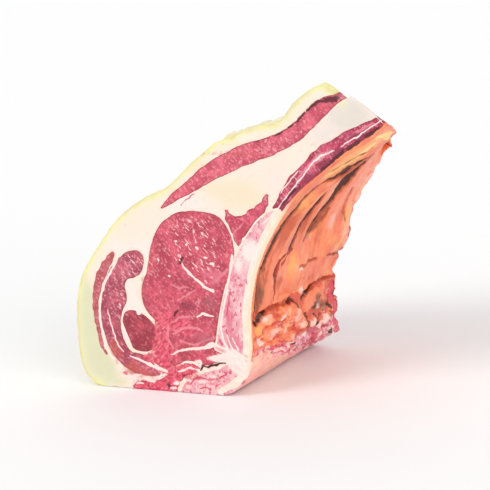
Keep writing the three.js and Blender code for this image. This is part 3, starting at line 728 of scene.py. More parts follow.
def hollow_height(up, depth):
    """How far the hollow side stands out at (up, depth), how dark its grooves' painted shade is, and its
    broad dips.
    """
    flat = np.stack([up, depth, np.zeros(len(up))], axis=1)
    warped_up, warped_in = rippled(up, flat, GROOVE_WANDER_UP), rippled(depth, flat, GROOVE_WANDER_IN)
    deep, dark = hollow_grooves(warped_up, warped_in)
    swell = spot_mask(HOLLOW_LUMPS, warped_up, warped_in)
    height = swell - deep
    # Low down: rounded lumps with creases between, as far as the backbone's smooth side
    low = fade(up, *LUMPS_END) * fade(above_hem(warped_up, warped_in), -1, 2)
    lumps = pebbles(rippled(warped_up, flat, LUMP_WANDER_UP), rippled(warped_in, flat, LUMP_WANDER_IN))
    height += low * rippled(LUMP_SHARE * lumps - LUMP_BED, flat, LUMP_SKIN)
    # Everywhere a wrinkled skin, higher up long folds, and rags at the far cut
    height += rippled(WRINKLE_HEIGHT * rough_noise(flat, *LINING_WRINKLES), flat, LINING_SKIN)
    height += fade(up, *FOLDS_START) * rippled(0, flat, LINING_FOLDS)
    height += fade(depth, *RAGS_START) * rippled(0, flat, LINING_RAGS)
    return height * fade(depth, *HOLLOW_START), dark, np.minimum(swell, 0)


def cut_depth(places):
    """How far the show cut's cracks and torn places go in at each place, in millimetres."""
    x, _, z = places.T
    flat = places * (1, 0, 1)
    tears = rippled(TEAR_DEPTH, flat, SHOW_CUT_TEARS)
    depth = rippled(SHOW_CUT_SINK, flat, SHOW_CUT) + spot_mask(RAGGED, x, z) * tears
    for deep, line in DARK_LINES:
        depth += deep * line_mask(line, x, z, 0.6)
    return depth


def relief(places, normals):
    """Where the skin's corners go for the relief of the cuts, the hollow side and the back fat."""
    x, y, z = places.T
    up, away, out = on_hollow_side(places)
    hollow = fade(dot(normals, out), 0.25, 0.6) * fade(away, *HOLLOW_NEAR) * fade(x, *HOLLOW_FOOT)
    at_front = fade(-normals[:, 1], *SQUARELY) * fade(y, *SHOW_CUT_END)
    at_back = fade(normals[:, 1], *SQUARELY) * fade(y, *FAR_CUT_START)
    moved = places + out * (hollow * (hollow_height(up, y)[0] - HOLLOW_SINK))[:, None]
    moved[:, 1] += at_front * cut_depth(places)
    torn = fade(away, *TEARS_NEAR) * rippled(FAR_TEAR_DEPTH, places, FAR_CUT_TEARS)
    moved[:, 1] -= at_back * (rippled(FAR_CUT_SINK, places, FAR_CUT) + torn)
    # The back fat: slow swells, scallops along its lower part, finer dents and a few knife nicks
    cover = (1 - hollow) * (1 - at_front) * (1 - at_back) * fade(z, 1, 6)
    scallops = SCALLOP_HEIGHT * fade(x, *SCALLOPS_END) * noise(places, *BACK_FAT_SCALLOPS)
    swell = noise(places, *BACK_FAT_SWELLS) + scallops
    swell = rippled(swell, places, BACK_FAT_DENTS)
    for size, seed in BACK_FAT_CREASES:
        crease = np.exp(-((noise(places, size, seed) / CREASE_WIDTH) ** 2))
        swell -= CREASE_DEPTH * (crease * fade(noise(places, 30, seed + 2), -0.1, 0.3))
    moved += normals * (cover * (swell - BACK_FAT_SINK))[:, None]
    # The sawn underside: shallow dents in a face that stays flat where it stands
    under = fade(-normals[:, 2], 0.6, 0.9) * fade(z, *UNDERSIDE_END)
    dents = np.maximum(0, 0.35 + 0.5 * noise(places, (5, 9, 5), 54))
    moved[:, 2] += under * dents * fade(np.abs(noise(places, (30, 30, 1), 55)), 0.05, 0.2)
    return moved


def every_node():
    """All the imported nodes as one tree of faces, for looking out from a face, and as one grown bmesh."""
    whole = bmesh.new()
    for name in NODES:
        bm = merged_copy(name)
        part = bpy.data.meshes.new("part")
        bm.to_mesh(part)
        bm.free()
        whole.from_mesh(part)
        bpy.data.meshes.remove(part)
    tree = BVHTree.FromBMesh(whole)
    for vert in whole.verts:
        vert.co += vert.normal * CLOSE_GAP
    return tree, whole


def stand_out(bm, tree):
    """Pushes a node's skin out past the steak and grows its walls a little, so that it can cut."""
    def sees_out(face):
        start = face.calc_center_median() + face.normal * LOOK_START
        return tree.ray_cast(start, face.normal, LOOK_OUT)[0] is None
    skin = {face for face in bm.faces if sees_out(face)}
    shifts = []
    for vert in bm.verts:
        out, aside = Vector(), Vector()
        for loop in vert.link_loops:
            way = loop.face.normal * loop.calc_angle()
            if loop.face in skin:
                out += way
            else:
                aside += way
        shifts.append(out.normalized() * SKIN_PUSH + aside.normalized() * SEAM_GROWTH)
    for vert, shift in zip(bm.verts, shifts):
        vert.co += shift


def drift(places):
    """How far the tissues wander sideways from the show cut to the far cut."""
    share = np.clip(places[:, 1:2] / THICKNESS, 0, 1)
    return sideways(places * (1, 0, 1), 38, 61, 62) * (TISSUE_DRIFT * share)


def muscle_prism(bm, ragged):
    """Turns a node into a prism on its outline at the show cut, evenly stepped, eased and a little ragged."""
    bmesh.ops.bisect_plane(
        bm, geom=[*bm.verts, *bm.edges, *bm.faces], dist=1e-4, plane_co=(0, 1, 0), plane_no=(0, 1, 0),
        clear_inner=True, clear_outer=True)
    bmesh.ops.remove_doubles(bm, verts=bm.verts, dist=OUTLINE_MERGE)
    by_cuts = {}
    for edge in bm.edges:
        by_cuts.setdefault(round(edge.calc_length() / OUTLINE_STEP) - 1, []).append(edge)
    for cuts, edges in by_cuts.items():
        if cuts > 0:
            bmesh.ops.subdivide_edges(bm, edges=edges, cuts=cuts)
    for _ in range(OUTLINE_SMOOTHING):
        smoothed(bm, 0.5)
    here = np.array([v.co for v in bm.verts])
    wobble = sideways(here, 4.5, 63, 65) * OUTLINE_WAVE + sideways(here, 2.4, 66, 68) * ragged
    for vert, shift in zip(bm.verts, wobble):
        vert.co += Vector(shift)
        vert.co.y = -SKIN_PUSH
    face = bmesh.ops.edgeloop_fill(bm, edges=bm.edges)["faces"]
    far = bmesh.ops.extrude_face_region(bm, geom=face)["geom"]
    far_verts = [g for g in far if isinstance(g, bmesh.types.BMVert)]
    bmesh.ops.translate(bm, vec=(0, THICKNESS + 2 * SKIN_PUSH, 0), verts=far_verts)
    bmesh.ops.recalc_face_normals(bm, faces=bm.faces)


def make_cutters(tree):
    """The cutters that part the body, and a tree of all their walls."""
    cutters, walls = [], bmesh.new()
    for name in ORDER:
        bm = merged_copy(name)
        stand_out(bm, tree)
        if name in MUSCLES:
            muscle_prism(bm, RAGGED_OUTLINES.get(name, PLAIN_RAGGED))
        cutter = work_object(name + "_cutter", bm)
        if name in EASED:
            cutter.data = modified(cutter, remesh(WALL_STEP), smoothing(WALL_SMOOTHING))
        if name == "rib_lining":
            cutter.data = modified(cutter, remesh(WALL_STEP))
            follow_grooves(cutter.data)
        here = places_in(cutter.data)
        if name == "rib_meat":
            here = here + sideways(here * (1, 0.1, 1), 4, 57, 58) * MEAT_WAVE
        set_places(cutter.data, here + drift(here))
        cutters.append(cutter)
        walls.from_mesh(cutter.data)
    made["cutters"] = cutters
    made["walls"] = BVHTree.FromBMesh(walls)
    walls.free()


def make_body():
    """The whole steak as one fine skin with all its relief."""
    tree, whole = every_node()
    make_cutters(tree)
    body = work_object("whole", whole)
    spacing = bpy.context.scene.steak_sizes.spacing / MM
    body.data = modified(body, remesh(spacing), smoothing(BODY_SMOOTHING))
    thin_cover(body)
    set_places(body.data, places_in(body.data) - normals_of(body.data) * CLOSE_GAP)
    refine(body.data)
    set_places(body.data, relief(places_in(body.data), normals_of(body.data)))
    made["body"] = body


def thin_cover(body):
    """Thins the skin where it carries little: the back fat's outside, the far cut and the underside."""
    here, facing = places_in(body.data), normals_of(body.data)
    _, away, out = on_hollow_side(here)
    hollow = (away < 12) & (dot(facing, out) > 0.2) & (here[:, 0] > 106)
    plain = ~hollow & (facing[:, 1] > -0.5) & (here[:, 1] > 3)
    group = body.vertex_groups.new(name="plain")
    group.add(np.flatnonzero(plain).tolist(), 1, "REPLACE")
    keep = 1 - THINNED_SHARE * plain.mean()
    body.data = modified(body, ("DECIMATE", {"ratio": keep, "vertex_group": "plain"}))
    body.vertex_groups.clear()


def refine(mesh):
    """Halves the faces of the show cut and of the parts of the hollow side that carry fine detail."""
    centre, normal = rows_of(mesh.polygons, "center"), rows_of(mesh.polygons, "normal")
    up, away, out = on_hollow_side(centre)
    near_groove = np.full(len(centre), np.inf)
    for _, _, line in HOLLOW_GROOVES:
        near_groove = np.minimum(near_groove, near_line(line, up, centre[:, 1])[0])
    detailed = (up < FINE_UP_TO) | (near_groove < FINE_BY_GROOVE)
    on_hollow = (away < 9) & (dot(normal, out) > 0.5) & (centre[:, 0] > 108)
    on_show_cut = (normal[:, 1] < -0.7) & (centre[:, 1] < 6)
    chosen = on_hollow & detailed & ~on_show_cut
    for i in np.flatnonzero(on_show_cut):
        place, normal_there, _, distance = made["walls"].find_nearest(centre[i].tolist())
        chosen[i] = distance < FINE_BY_WALL or (Vector(centre[i]) - place).dot(normal_there) < 0
    bm = bmesh.new()
    bm.from_mesh(mesh)
    bm.faces.ensure_lookup_table()
    edges = {edge for i in np.flatnonzero(chosen) for edge in bm.faces[i].edges}
    bmesh.ops.subdivide_edges(bm, edges=list(edges), cuts=1, use_grid_fill=True)
    smoothed(bm, 0.3)
    bm.to_mesh(mesh)
    bm.free()


def follow_grooves(mesh):
    """Lets the lining's inner wall go in where a groove of the hollow side does."""
    here = places_in(mesh)
    up, _, out = on_hollow_side(here)
    depth = np.minimum(hollow_height(up, here[:, 1])[0], 0) * (dot(normals_of(mesh), out) < 0)
    set_places(mesh, here + out * depth[:, None])


def taken(name):
    """The mesh of one piece: the body inside its cutter, less what the cutters before it take."""
    less = boolean("DIFFERENCE", operand_type="COLLECTION", collection=made["before"])
    if name == "fat_cover":
        return modified(made["body"], less)
    cutter = made["cutters"][ORDER.index(name)]
    alone = cutter.data
    if len(made["before"].objects):
        cutter.data = modified(cutter, less)
    mesh = modified(made["body"], boolean("INTERSECT", operand_type="OBJECT", object=cutter))
    cutter.data = alone
    made["before"].objects.link(cutter)
    return mesh


def drop_scraps(mesh):
    """Removes the loose bits that the cutting leaves."""
    bm = bmesh.new()
    bm.from_mesh(mesh)
    seen, scraps = set(), []
    for start in bm.faces:
        if start in seen:
            continue
        island, front = {start}, [start]
        while front:
            face = front.pop()
            for other in {other for edge in face.edges for other in edge.link_faces} - island:
                island.add(other)
                front.append(other)
        seen |= island
        if len(island) < SCRAP_FACES:
            scraps += island
    bmesh.ops.delete(bm, geom=scraps, context="FACES")
    bm.to_mesh(mesh)
    bm.free()


def add_piece(name, material, dome=0.0, grain=0.0):
    """Takes a piece out of the body, gives it fine relief and what its material reads, and rides it."""
    mesh = taken(name)
    drop_scraps(mesh)
    here, facing = places_in(mesh), normals_of(mesh)
    nearest = made["walls"].find_nearest
    edge = np.array([nearest(p, WALL_REACH)[3] or WALL_REACH for p in here.tolist()])
    on_cut = fade(np.abs(facing[:, 1]), 0.6, 0.9) * ((here[:, 1] < 8) | (here[:, 1] > THICKNESS - 12))
    rise = dome * (1 - np.exp(-edge / DOME_SHOULDER)) + grain * (1 - np.exp(-edge / GRAIN_SHOULDER)) * (
        rippled(0, here, CUT_GRAIN))
    here = here + facing * (on_cut * rise)[:, None]
    set_places(mesh, here)
    add_attribute(mesh, "edge", edge)
    up, away, _ = on_hollow_side(here)
    along = mesh.attributes.new("along", "FLOAT_VECTOR", "POINT")
    on_hollow = np.stack([up, here[:, 1], away], axis=1) * MM
    along.data.foreach_set("vector", on_hollow.astype(np.float32).ravel())
    for key, values in masks_at(here, facing).items():
        add_attribute(mesh, key, values)
    put_places(mesh, here)
    mesh.materials.clear()
    mesh.materials.append(material)
    mesh.polygons.foreach_set("use_smooth", np.ones(len(mesh.polygons), bool))
    mesh.set_sharp_from_angle(angle=SHARP_ANGLE)
    obj = added(name + "_carved", mesh)
    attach(obj, "root")
    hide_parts(name)


def masks_at(places, facing):
    """What the materials read at each place, 0 to 1: its stains, raw, dark and white places and so on, and
    painted light and shade.
    """
    x, y, z = places.T
    wander = np.stack([noise(places, 2.6, 81), noise(places, 2.6, 82)])
    u, v = x + 0.5 * wander[0], z + 0.5 * wander[1]
    up, away, out = on_hollow_side(places)
    on_hollow = fade(away, *LINING_NEAR) * fade(dot(facing, out), -0.2, 0.2) * fade(y, *LINING_START)
    on_cut = np.maximum(fade(y, *SHOW_LOOK_END), fade(y, *FAR_LOOK_START)) * (1 - on_hollow)

    # The cuts
    masks = {key: on_cut * spot_mask(spots, u, v) for key, spots in CUT_SPOTS.items()}
    masks["white"] = masks["white"] + on_cut * line_masks(WHITE_LINES, u, v)
    cracks = on_cut * line_masks([line for _, line in DARK_LINES], u, v)
    gaps = fade(noise(places * (1, 0, 1), 3.2, 83), 0.15, -0.45) * fade(x, *CRACK_GAPS_START)
    masks["dark"] = masks["dark"] + cracks * (1 - 0.75 * gaps)
    masks["strand"] = on_cut * line_masks(PINK_LINES, u, v, 0.6)
    masks["red"] = on_cut * line_masks(RED_LINES, u, v)
    wall = fade(away, *BONE_WALL_NEAR) * fade(z, *BONE_WALL_START)
    masks["cortex"] = on_cut * np.maximum(wall, line_mask(CORNER_WALL, u, v, 1))

    # The back fat, and the lining's pale edge at the show cut
    masks["rim"] = np.exp(-near_line(BACK_LINE, x, z)[0] / RIM_REACH)
    masks["outside"] = (1 - on_hollow) * fade(np.abs(facing[:, 1]), 0.75, 0.45) * fade(masks["rim"], 0.4, 0.6)
    masks["outside"] *= fade(y, *OUTSIDE_START)
    masks["cut"] = fade(-facing[:, 1], 0.35, 0.75) * fade(y, *PALE_EDGE_END) * (
        1 - 0.85 * fade(x, *PALE_EDGE_LOST))

    # The hollow side
    height, dark, dip = hollow_height(up, y)
    # Painted shade in the hollow side's valleys, and on the cuts where they are torn or cracked deep
    masks["valley_shade"] = on_hollow * fade(height - dip, -0.5, -1.9) + on_cut * fade(y, 8, 6) * fade(
        cut_depth(places), 1.3, 2.8)
    # Painted light on the hollow side's ridges
    masks["ridge"] = on_hollow * fade(height, 0.2, 1.9)
    wu, wd = up + 0.9 * wander[0], y + 0.9 * wander[1]
    for key, spots in HOLLOW_SPOTS.items():
        masks[key] = on_hollow * spot_mask(spots, wu, wd)
    # Painted shade on the grooves' walls
    masks["groove"] = on_hollow * dark
    masks["blood"] = on_hollow * line_masks(BLOOD_LINES, wu, wd, 1.2)
    over = above_hem(wu, wd)
    masks["flank"] = on_hollow * fade(over, 0.8, -1.2)
    masks["hem"] = on_hollow * np.exp(-(((over - HEM_MIDDLE) / HEM_SPREAD) ** 2)) * fade(up, *HEM_END)
    return {key: np.clip(values, 0, None) for key, values in masks.items()}


class Finish:
    """A material mixed layer by layer. A colour is three screen values, 0 to 255, or what a node gives."""

    def __init__(self, name, roughness):
        self.material = bpy.data.materials.new(name)
        self.material.use_nodes = True
        self.tree = self.material.node_tree
        self.shader = self.tree.nodes["Principled BSDF"]
        self.shader.inputs["Roughness"].default_value = roughness

    def node(self, kind, inputs, **settings):
        """The outputs of a new node. Each input takes what a node gives, a colour or a number."""
        node = self.tree.nodes.new("ShaderNode" + kind)
        for key, value in settings.items():
            setattr(node, key, value)
        for key, value in inputs.items():
            socket = node.inputs[key]
            if isinstance(value, bpy.types.NodeSocket):
                self.tree.links.new(value, socket)
            else:
                socket.default_value = srgb(*value) if socket.type == "RGBA" else value
        return node.outputs

    def kept(self, name):
        """What a piece keeps at its corners under this name."""
        return self.node("Attribute", {}, attribute_name=name)["Fac"]

    def field(self, size, detail=2.0, stretch=(1, 1, 1), turn=0.0, seed=0.0, follow=False):
        """Noise with lumps of a size in millimetres, stretched and turned, or laid along the hollow side."""
        if follow:
            place = self.node("Attribute", {}, attribute_name="along")["Vector"]
        else:
            place = self.node("TexCoord", {})["Object"]
        inputs = {"Vector": place, "Location": (seed, 0.37 * seed, 0.71 * seed), "Rotation": (0, turn, 0),
                  "Scale": stretch}
        place = self.node("Mapping", inputs, vector_type="TEXTURE")["Vector"]
        return self.node("TexNoise", {"Vector": place, "Scale": 1 / MM / size, "Detail": detail})["Fac"]

    def eased(self, value, start, end, most=1.0):
        """A value eased from 0 at start to most at end."""
        inputs = {"Value": value, "From Min": start, "From Max": end, "To Max": most}
        return self.node("MapRange", inputs, interpolation_type="SMOOTHSTEP")["Result"]

    def product(self, first, second):
        """The product of two values."""
        return self.node("Math", {0: first, 1: second}, operation="MULTIPLY")["Value"]

    def mix(self, under, over, factor):
        """One colour over another."""
        return self.node("Mix", {"Factor": factor, 6: under, 7: over}, data_type="RGBA")[2]

    def mottled(self, under, over, ease, *field, **more):
        """One colour over another in patches: how a field of noise is eased, and the field."""
        return self.mix(under, over, self.eased(self.field(*field, **more), *ease))

    def masked(self, under, over, name, *ease):
        """One colour over another where the piece's corners say so."""
        return self.mix(under, over, self.eased(self.kept(name), *ease))

    def torn(self, under, over, name, most, rough, size, seed, streaks=0, start=0.2, end=0.6):
        """The same with a torn edge, or with streaks along the hollow side's folds."""
        along = {"stretch": (streaks, 1, 1), "follow": True} if streaks else {}
        inputs = {0: self.field(size, 3, seed=seed, **along), 1: rough, 2: self.kept(name)}
        place = self.node("Math", inputs, operation="MULTIPLY_ADD")["Value"]
        return self.mix(under, over, self.eased(place, start + 0.5 * rough, end + 0.5 * rough, most))

    def stains_and_painted_light(self, colour, skip=()):
        """The stains, painted highlights and painted shade that lie over any tissue."""
        for seed, (name, most, rough, size, mark_colour) in enumerate(STAINS_AND_PAINTED_LIGHT, FIRST_STAIN_SEED):
            if name not in skip:
                colour = self.torn(colour, mark_colour, name, most, rough, size, seed)
        return colour

    def done(self, colour, *bumps):
        """The material with its colour, and fine bumps: noise sizes and how strong and high each is."""
        self.tree.links.new(colour, self.shader.inputs["Base Color"])
        normal = {}
        for size, strength, height in bumps:
            field = self.field(size, seed=size)
            inputs = {"Strength": strength, "Distance": height * MM, "Height": field, **normal}
            normal = {"Normal": self.node("Bump", inputs)["Normal"]}
        self.tree.links.new(normal["Normal"], self.shader.inputs["Normal"])
        return self.material


def low_edge(finish, colour):
    """The backbone's smooth salmon side, and over its top edge the hem of torn pink meat and white bits."""
    side = finish.mottled((255, 182, 174), (255, 202, 176), (0.4, 0.62), 6, 3, (1, 2.6, 1), seed=31)
    side = finish.mottled(side, (226, 112, 112), (0.55, 0.7, 0.6), 2.4, 3, (1, 3, 1), seed=33)
    colour = finish.torn(colour, side, "flank", 0.97, 0.4, 3, 33)
    bits = finish.mottled((226, 76, 108), (254, 206, 196), (0.44, 0.54), 3.4, 2, (1, 1.6, 1), seed=35)
    bits = finish.mottled(bits, (140, 24, 44), (0.58, 0.66, 0.9), 2.4, 2, (1, 1.6, 1), seed=37)
    return finish.torn(colour, bits, "hem", 0.9, 1.2, 3, 39)


def raw_meat(finish):
    """Freshly torn meat: hot pink mottled with deep red and light pink."""
    colour = finish.mottled((196, 54, 80), (232, 98, 118), (0.42, 0.58), 2, 3, (2.2, 1, 1), -0.6, 21)
    return finish.mottled(colour, (246, 160, 166), (0.55, 0.7, 0.8), 1.5, 3, (2.4, 1, 1), -0.6, 23)


def lean_material(name, base, dark, pale, flecks, rim=(132, 34, 48), rim_width=0.9):
    """Cut muscle: mottled fibre ends, fine fat flecks, a darker edge and wet raw places."""
    finish = Finish(name, 0.42)
    colour = finish.mottled(base, dark, (0.36, 0.62), 9, 3)
    colour = finish.mottled(colour, dark, (0.46, 0.62, 0.75), 1.9, 3, (1.7, 3, 1), 0.8, 3)
    colour = finish.mottled(colour, pale, (0.53, 0.68, 0.7), 1.5, 3, (1.5, 3, 1), 0.8, 5)
    colour = finish.mottled(colour, (126, 34, 52), (0.58, 0.7, 0.55), 0.9, 2, seed=6)
    fleck = finish.eased(finish.field(1.25, 1, (2.6, 5, 0.9), 0.8, 7), 0.6, 0.7, flecks)
    fleck = finish.product(fleck, finish.eased(finish.kept("flecked"), 0.1, 0.7))
    colour = finish.mix(colour, (250, 204, 202), fleck)
    colour = finish.masked(colour, rim, "edge", rim_width, 0.1, 0.75)
    colour = finish.torn(colour, raw_meat(finish), "raw", 0.95, 1.1, 2.2, 9)
    colour = finish.torn(colour, (242, 156, 166), "strand", 0.5, 1.1, 1.4, 13)
    # Painted shade in valleys and deep tears
    colour = finish.masked(colour, (136, 14, 38), "valley_shade", 0.1, 0.9, 0.8)
    return finish.done(finish.stains_and_painted_light(colour), (1.2, 0.35, 0.25), (0.5, 0.2, 0.12))


def cover_colour(finish):
    """The back fat's outside: pale yellow and cream, with dry streaks, pink bits of skin and thin veins."""
    colour = finish.mottled((244, 232, 204), (236, 223, 176), (0.36, 0.62), 24, 4, (1, 1.6, 1), seed=51)
    colour = finish.mottled(colour, (250, 238, 222), (0.48, 0.68, 0.7), 8, 4, (1, 3, 1), seed=53)
    colour = finish.mottled(colour, (226, 206, 154), (0.54, 0.72, 0.45), 3, 3, (1, 4, 1), seed=55)
    colour = finish.mottled(colour, (240, 196, 180), (0.6, 0.72, 0.6), 16, 4, (1, 2, 1), seed=57)
    field = finish.field(44, 2, seed=59)
    veins = finish.product(finish.eased(field, 0.49, 0.5, 0.6), finish.eased(field, 0.51, 0.5))
    veins = finish.product(veins, finish.eased(finish.field(20, seed=65), 0.5, 0.6))
    return finish.mix(colour, (222, 150, 132), veins)


def fat_material():
    """Firm fat: cream, yellower on the outside, peach next to the muscles, and faintly streaked."""
    finish = Finish("firm_fat", 0.46)
    colour = finish.mottled((246, 228, 220), (246, 226, 209), (0.35, 0.65), 22)
    colour = finish.mottled(colour, (238, 206, 194), (0.54, 0.72, 0.3), 2.4, 3, (3, 6, 1), -0.7, 2)
    peach = finish.product(finish.eased(finish.kept("edge"), 2.6, 0.3, 0.7),
                           finish.eased(finish.field(12, seed=4), 0.35, 0.6))
    colour = finish.mix(colour, (250, 216, 196), peach)
    for name, most, tint in (("cream", 0.85, (252, 220, 189)), ("pinkish", 0.8, (248, 218, 216)),
                             ("grey", 0.85, (220, 211, 200)), ("sallow", 0.9, (214, 214, 177))):
        colour = finish.masked(colour, tint, name, 0.05, 0.95, most)
    colour = finish.torn(colour, (238, 232, 190), "rim", 0.55, 0.3, 9, 10, start=0, end=0.6)
    rind = finish.mottled((236, 232, 152), (226, 214, 150), (0.38, 0.62), 18, 3, seed=6)
    colour = finish.torn(colour, rind, "rim", 0.9, 0.5, 7, 8, start=0.3, end=0.8)
    colour = finish.torn(colour, raw_meat(finish), "raw", 0.9, 0.9, 1.8, 9)
    # Painted shade in valleys and deep tears
    colour = finish.masked(colour, (214, 120, 112), "valley_shade", 0.1, 0.9, 0.6)
    colour = low_edge(finish, finish.stains_and_painted_light(colour, skip=("maroon",)))
    colour = finish.masked(colour, cover_colour(finish), "outside", 0.2, 0.8)
    return finish.done(colour, (3, 0.3, 0.3), (0.8, 0.2, 0.12))


def bone_material(name, cortex, swirl):
    """Sawn bone: a pale dense wall round pink spongy marrow with red specks and thin red swirls."""
    finish = Finish(name, 0.5)
    marrow = finish.mottled((240, 190, 191), (229, 163, 174), (0.4, 0.6), 5, 2, (1, 1, 2), seed=1)
    marrow = finish.mottled(marrow, (206, 84, 110), (0.6, 0.66, 0.9), 2, 1, (1, 1, 1.9), 0.2, 3)
    ring = finish.field(7, 2, (1.6, 1, 1), 0.4, 15)
    swirls = finish.product(finish.eased(ring, 0.46, 0.49, swirl), finish.eased(ring, 0.54, 0.51))
    marrow = finish.mix(marrow, (220, 70, 104), swirls)
    marrow = finish.mottled(marrow, (252, 226, 222), (0.56, 0.68, 0.5), 2.4, 2, seed=8)
    wall = finish.mottled((252, 231, 214), (250, 222, 202), (0.4, 0.6), 6, 2, seed=5)
    colour = finish.masked(wall, marrow, "edge", *cortex)
    colour = finish.torn(colour, wall, "cortex", 0.95, 0.3, 3, 6)
    colour = finish.torn(colour, raw_meat(finish), "raw", 0.9, 0.9, 1.8, 9)
    # Painted shade in valleys and deep tears
    colour = finish.masked(colour, (196, 62, 84), "valley_shade", 0.1, 0.9, 0.7)
    colour = low_edge(finish, finish.stains_and_painted_light(colour, skip=("maroon",)))
    return finish.done(colour, (1.4, 0.4, 0.3), (0.5, 0.25, 0.12))


def lining_material():
    """The wet membrane of the chest wall: salmon to orange over fat, with a cream edge at the cuts."""
    finish = Finish("wet_lining", 0.34)
    colour = finish.mottled((250, 146, 97), (240, 126, 93), (0.38, 0.62), 18, 3, follow=True)
    colour = finish.mottled(
        colour, (220, 96, 70), (0.5, 0.7, 0.55), 3.4, 3, (3, 1, 1), seed=2, follow=True)
    colour = finish.mottled(
        colour, (254, 178, 132), (0.54, 0.7, 0.55), 3, 3, (2.6, 1, 1), seed=4, follow=True)
    # Painted shade in the folds and crevices, streaked along them
    colour = finish.torn(colour, (196, 84, 54), "shade", 0.8, 1, 5, 49, 4)
    # Painted light on the lumps' tops: paler peach, with orange mottles
    lump = finish.mottled((255, 184, 144), (255, 198, 184), (0.4, 0.6), 9, 2, seed=61)
    lump = finish.mottled(lump, (238, 118, 92), (0.52, 0.66, 0.6), 3, 3, seed=63)
    colour = finish.masked(colour, lump, "ridge", 0.1, 0.9, 0.75)
    # Painted shade in the valleys between the lumps
    colour = finish.masked(colour, (212, 78, 64), "valley_shade", 0.1, 0.9, 0.8)
    colour = finish.stains_and_painted_light(colour, skip=("white", "red", "maroon"))
    # Brown with dark streaks in the folds: partly old blood and drying, partly painted shade
    colour = finish.torn(colour, (132, 86, 60), "drying_and_shade", 0.85, 0.9, 2, 41, 5)
    colour = finish.torn(colour, (76, 48, 34), "drying_and_shade", 0.85, 1.4, 1.4, 43, 6, 0.6, 0.9)
    # Painted shade in the grooves: a brown halo here, and a near-black core after the blood
    colour = finish.torn(colour, (180, 78, 42), "groove", 0.85, 0.5, 1.8, 45, 4, 0.1, 0.5)
    colour = finish.torn(colour, (172, 44, 28), "blood", 0.9, 0.8, 1.8, 51, 4)
    colour = finish.torn(colour, (64, 22, 12), "groove", 0.92, 0.8, 1.3, 47, 5, 0.5, 0.78)
    colour = low_edge(finish, colour)
    colour = finish.masked(colour, (252, 224, 194), "cut", 0.3, 0.8, 0.92)
    return finish.done(colour, (2.4, 0.35, 0.4), (0.8, 0.2, 0.15))


def make_floor():
    """A plain pale floor."""
    bm = bmesh.new()
    bmesh.ops.create_grid(bm, x_segments=1, y_segments=1, size=FLOOR_REACH)
    floor = work_object("floor", bm)
    paint = Finish("pale_floor", 0.9)
    paint.shader.inputs["Base Color"].default_value = FLOOR_COLOUR
    paint.shader.inputs["Specular IOR Level"].default_value = 0.1
    floor.data.materials.append(paint.material)


def make_lights(scene):
    """A white sky and the soft lights."""
    sky = bpy.data.worlds.new("studio")
    sky.use_nodes = True
    background = sky.node_tree.nodes["Background"]
    background.inputs["Color"].default_value = (1, 1, 1, 1)
    background.inputs["Strength"].default_value = SKY_STRENGTH * scene.steak_looks.lights
    scene.world = sky
    for name, way, power, softness in LIGHTS:
        data = bpy.data.lights.new(name, "SUN")
        data.energy = power * scene.steak_looks.lights
        data.angle = math.radians(softness)
        added(name, data).rotation_euler = Vector(way).to_track_quat("Z", "Y").to_euler()


def make_camera(scene):
    """The camera, placed at its angle and rolled."""
    back = Vector((math.sin(AZIMUTH) * math.cos(ELEVATION), -math.cos(AZIMUTH) * math.cos(ELEVATION),
                   math.sin(ELEVATION)))
    right = Vector((math.cos(AZIMUTH), math.sin(AZIMUTH), 0))
    up = back.cross(right)
    across = right * math.cos(ROLL) - up * math.sin(ROLL)
    upward = right * math.sin(ROLL) + up * math.cos(ROLL)
    data = bpy.data.cameras.new("camera")
    data.sensor_width = SENSOR_WIDTH
    data.lens = SENSOR_WIDTH * DISTANCE / FRAME_WIDTH
    turn = Matrix((across, upward, back)).transposed().to_4x4()
    scene.camera = added("camera", data)
    scene.camera.matrix_world = Matrix.Translation(Vector(TARGET) + back * DISTANCE) @ turn


class SteakSizes(bpy.types.PropertyGroup):
    """Sizes that a user may change before carving."""
    spacing: FloatProperty(
        name="Spacing", description="Distance between the corners of the carved skin", default=0.0009,
        min=0.0005, max=0.003, precision=4, unit="LENGTH")
    dome: FloatProperty(
        name="Dome", description="How far a muscle swells out of the cut between its edges", default=0.0004,
        max=0.002, precision=4, unit="LENGTH")


class SteakLooks(bpy.types.PropertyGroup):
    """Looks that a user may change before dressing."""
    lights: FloatProperty(name="Light", description="How strong the soft lights are", default=1.0, min=0.1)


class STEAK_OT_carve(bpy.types.Operator):
    """Make the whole steak's skin with its relief, and the cutters that part it"""
    bl_idname = "steak.carve"
    bl_label = "Carve the steak"

    def execute(self, context):
        made["before"] = bpy.data.collections.new("before")
        context.scene.collection.children.link(made["before"])
        make_body()
        return {"FINISHED"}


class STEAK_OT_lining(bpy.types.Operator):
    """Part the wet lining of the hollow side"""
    bl_idname = "steak.lining"
    bl_label = "Lining"

    def execute(self, context):
        add_piece("rib_lining", lining_material())
        return {"FINISHED"}


class STEAK_OT_bones(bpy.types.Operator):
    """Part both ribs and the sawn backbone"""
    bl_idname = "steak.bones"
    bl_label = "Ribs and backbone"

    def execute(self, context):
        rib = bone_material("sawn_rib", (0.4, 1.2), 0.2)
        add_piece("rib_bone_front", rib, grain=0.1)
        add_piece("rib_bone_back", rib, grain=0.1)
        add_piece("backbone", bone_material("sawn_backbone", (0.6, 2), 0.6), grain=0.3)
        return {"FINISHED"}


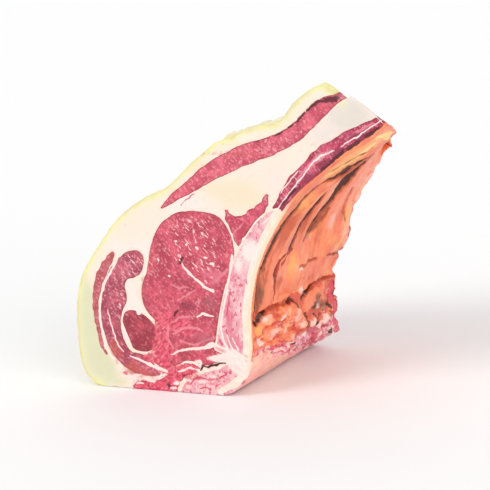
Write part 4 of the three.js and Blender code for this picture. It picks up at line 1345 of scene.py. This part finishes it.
class STEAK_OT_muscles(bpy.types.Operator):
    """Part the rib meat and the seven muscles of the cut"""
    bl_idname = "steak.muscles"
    bl_label = "Muscles"

    def execute(self, context):
        dome = context.scene.steak_sizes.dome / MM
        for name, (slot, *look) in MUSCLE_LOOKS.items():
            add_piece(name, lean_material(*look), dome=dome, grain=0.22)
        return {"FINISHED"}


class STEAK_OT_fat(bpy.types.Operator):
    """Part the fat, which is all that the other pieces leave"""
    bl_idname = "steak.fat"
    bl_label = "Fat"

    def execute(self, context):
        add_piece("fat_cover", fat_material(), dome=0.15, grain=0.08)
        discard(made["body"], *made["cutters"])
        bpy.data.collections.remove(made["before"])
        return {"FINISHED"}


class STEAK_OT_stage(bpy.types.Operator):
    """Set the pale floor, the soft lights and the camera"""
    bl_idname = "steak.stage"
    bl_label = "Stage"

    def execute(self, context):
        context.scene.view_settings.view_transform = "Standard"
        make_floor()
        make_lights(context.scene)
        make_camera(context.scene)
        return {"FINISHED"}


class STEAK_PT_panel(bpy.types.Panel):
    """Lists the steps in order"""
    bl_label = "Rib steak"
    bl_idname = "STEAK_PT_panel"
    bl_space_type = "VIEW_3D"
    bl_region_type = "UI"
    bl_category = "Steak"

    def draw(self, context):
        layout = self.layout
        for group in (context.scene.steak_sizes, context.scene.steak_looks):
            for key in group.__annotations__:
                layout.prop(group, key)
        for step in STEPS:
            layout.operator(step.bl_idname)


STEPS = (STEAK_OT_carve, STEAK_OT_lining, STEAK_OT_bones, STEAK_OT_muscles, STEAK_OT_fat, STEAK_OT_stage)
CLASSES = (SteakSizes, SteakLooks, *STEPS, STEAK_PT_panel)


def register():
    for cls in CLASSES:
        bpy.utils.register_class(cls)
    bpy.types.Scene.steak_sizes = PointerProperty(type=SteakSizes)
    bpy.types.Scene.steak_looks = PointerProperty(type=SteakLooks)


def unregister():
    del bpy.types.Scene.steak_sizes
    del bpy.types.Scene.steak_looks
    for cls in reversed(CLASSES):
        bpy.utils.unregister_class(cls)


def main():
    """Builds the steak and its stage."""
    register()
    for step in STEPS:
        getattr(bpy.ops.steak, step.bl_idname.split(".")[1])()


if __name__ == "__main__":
    main()
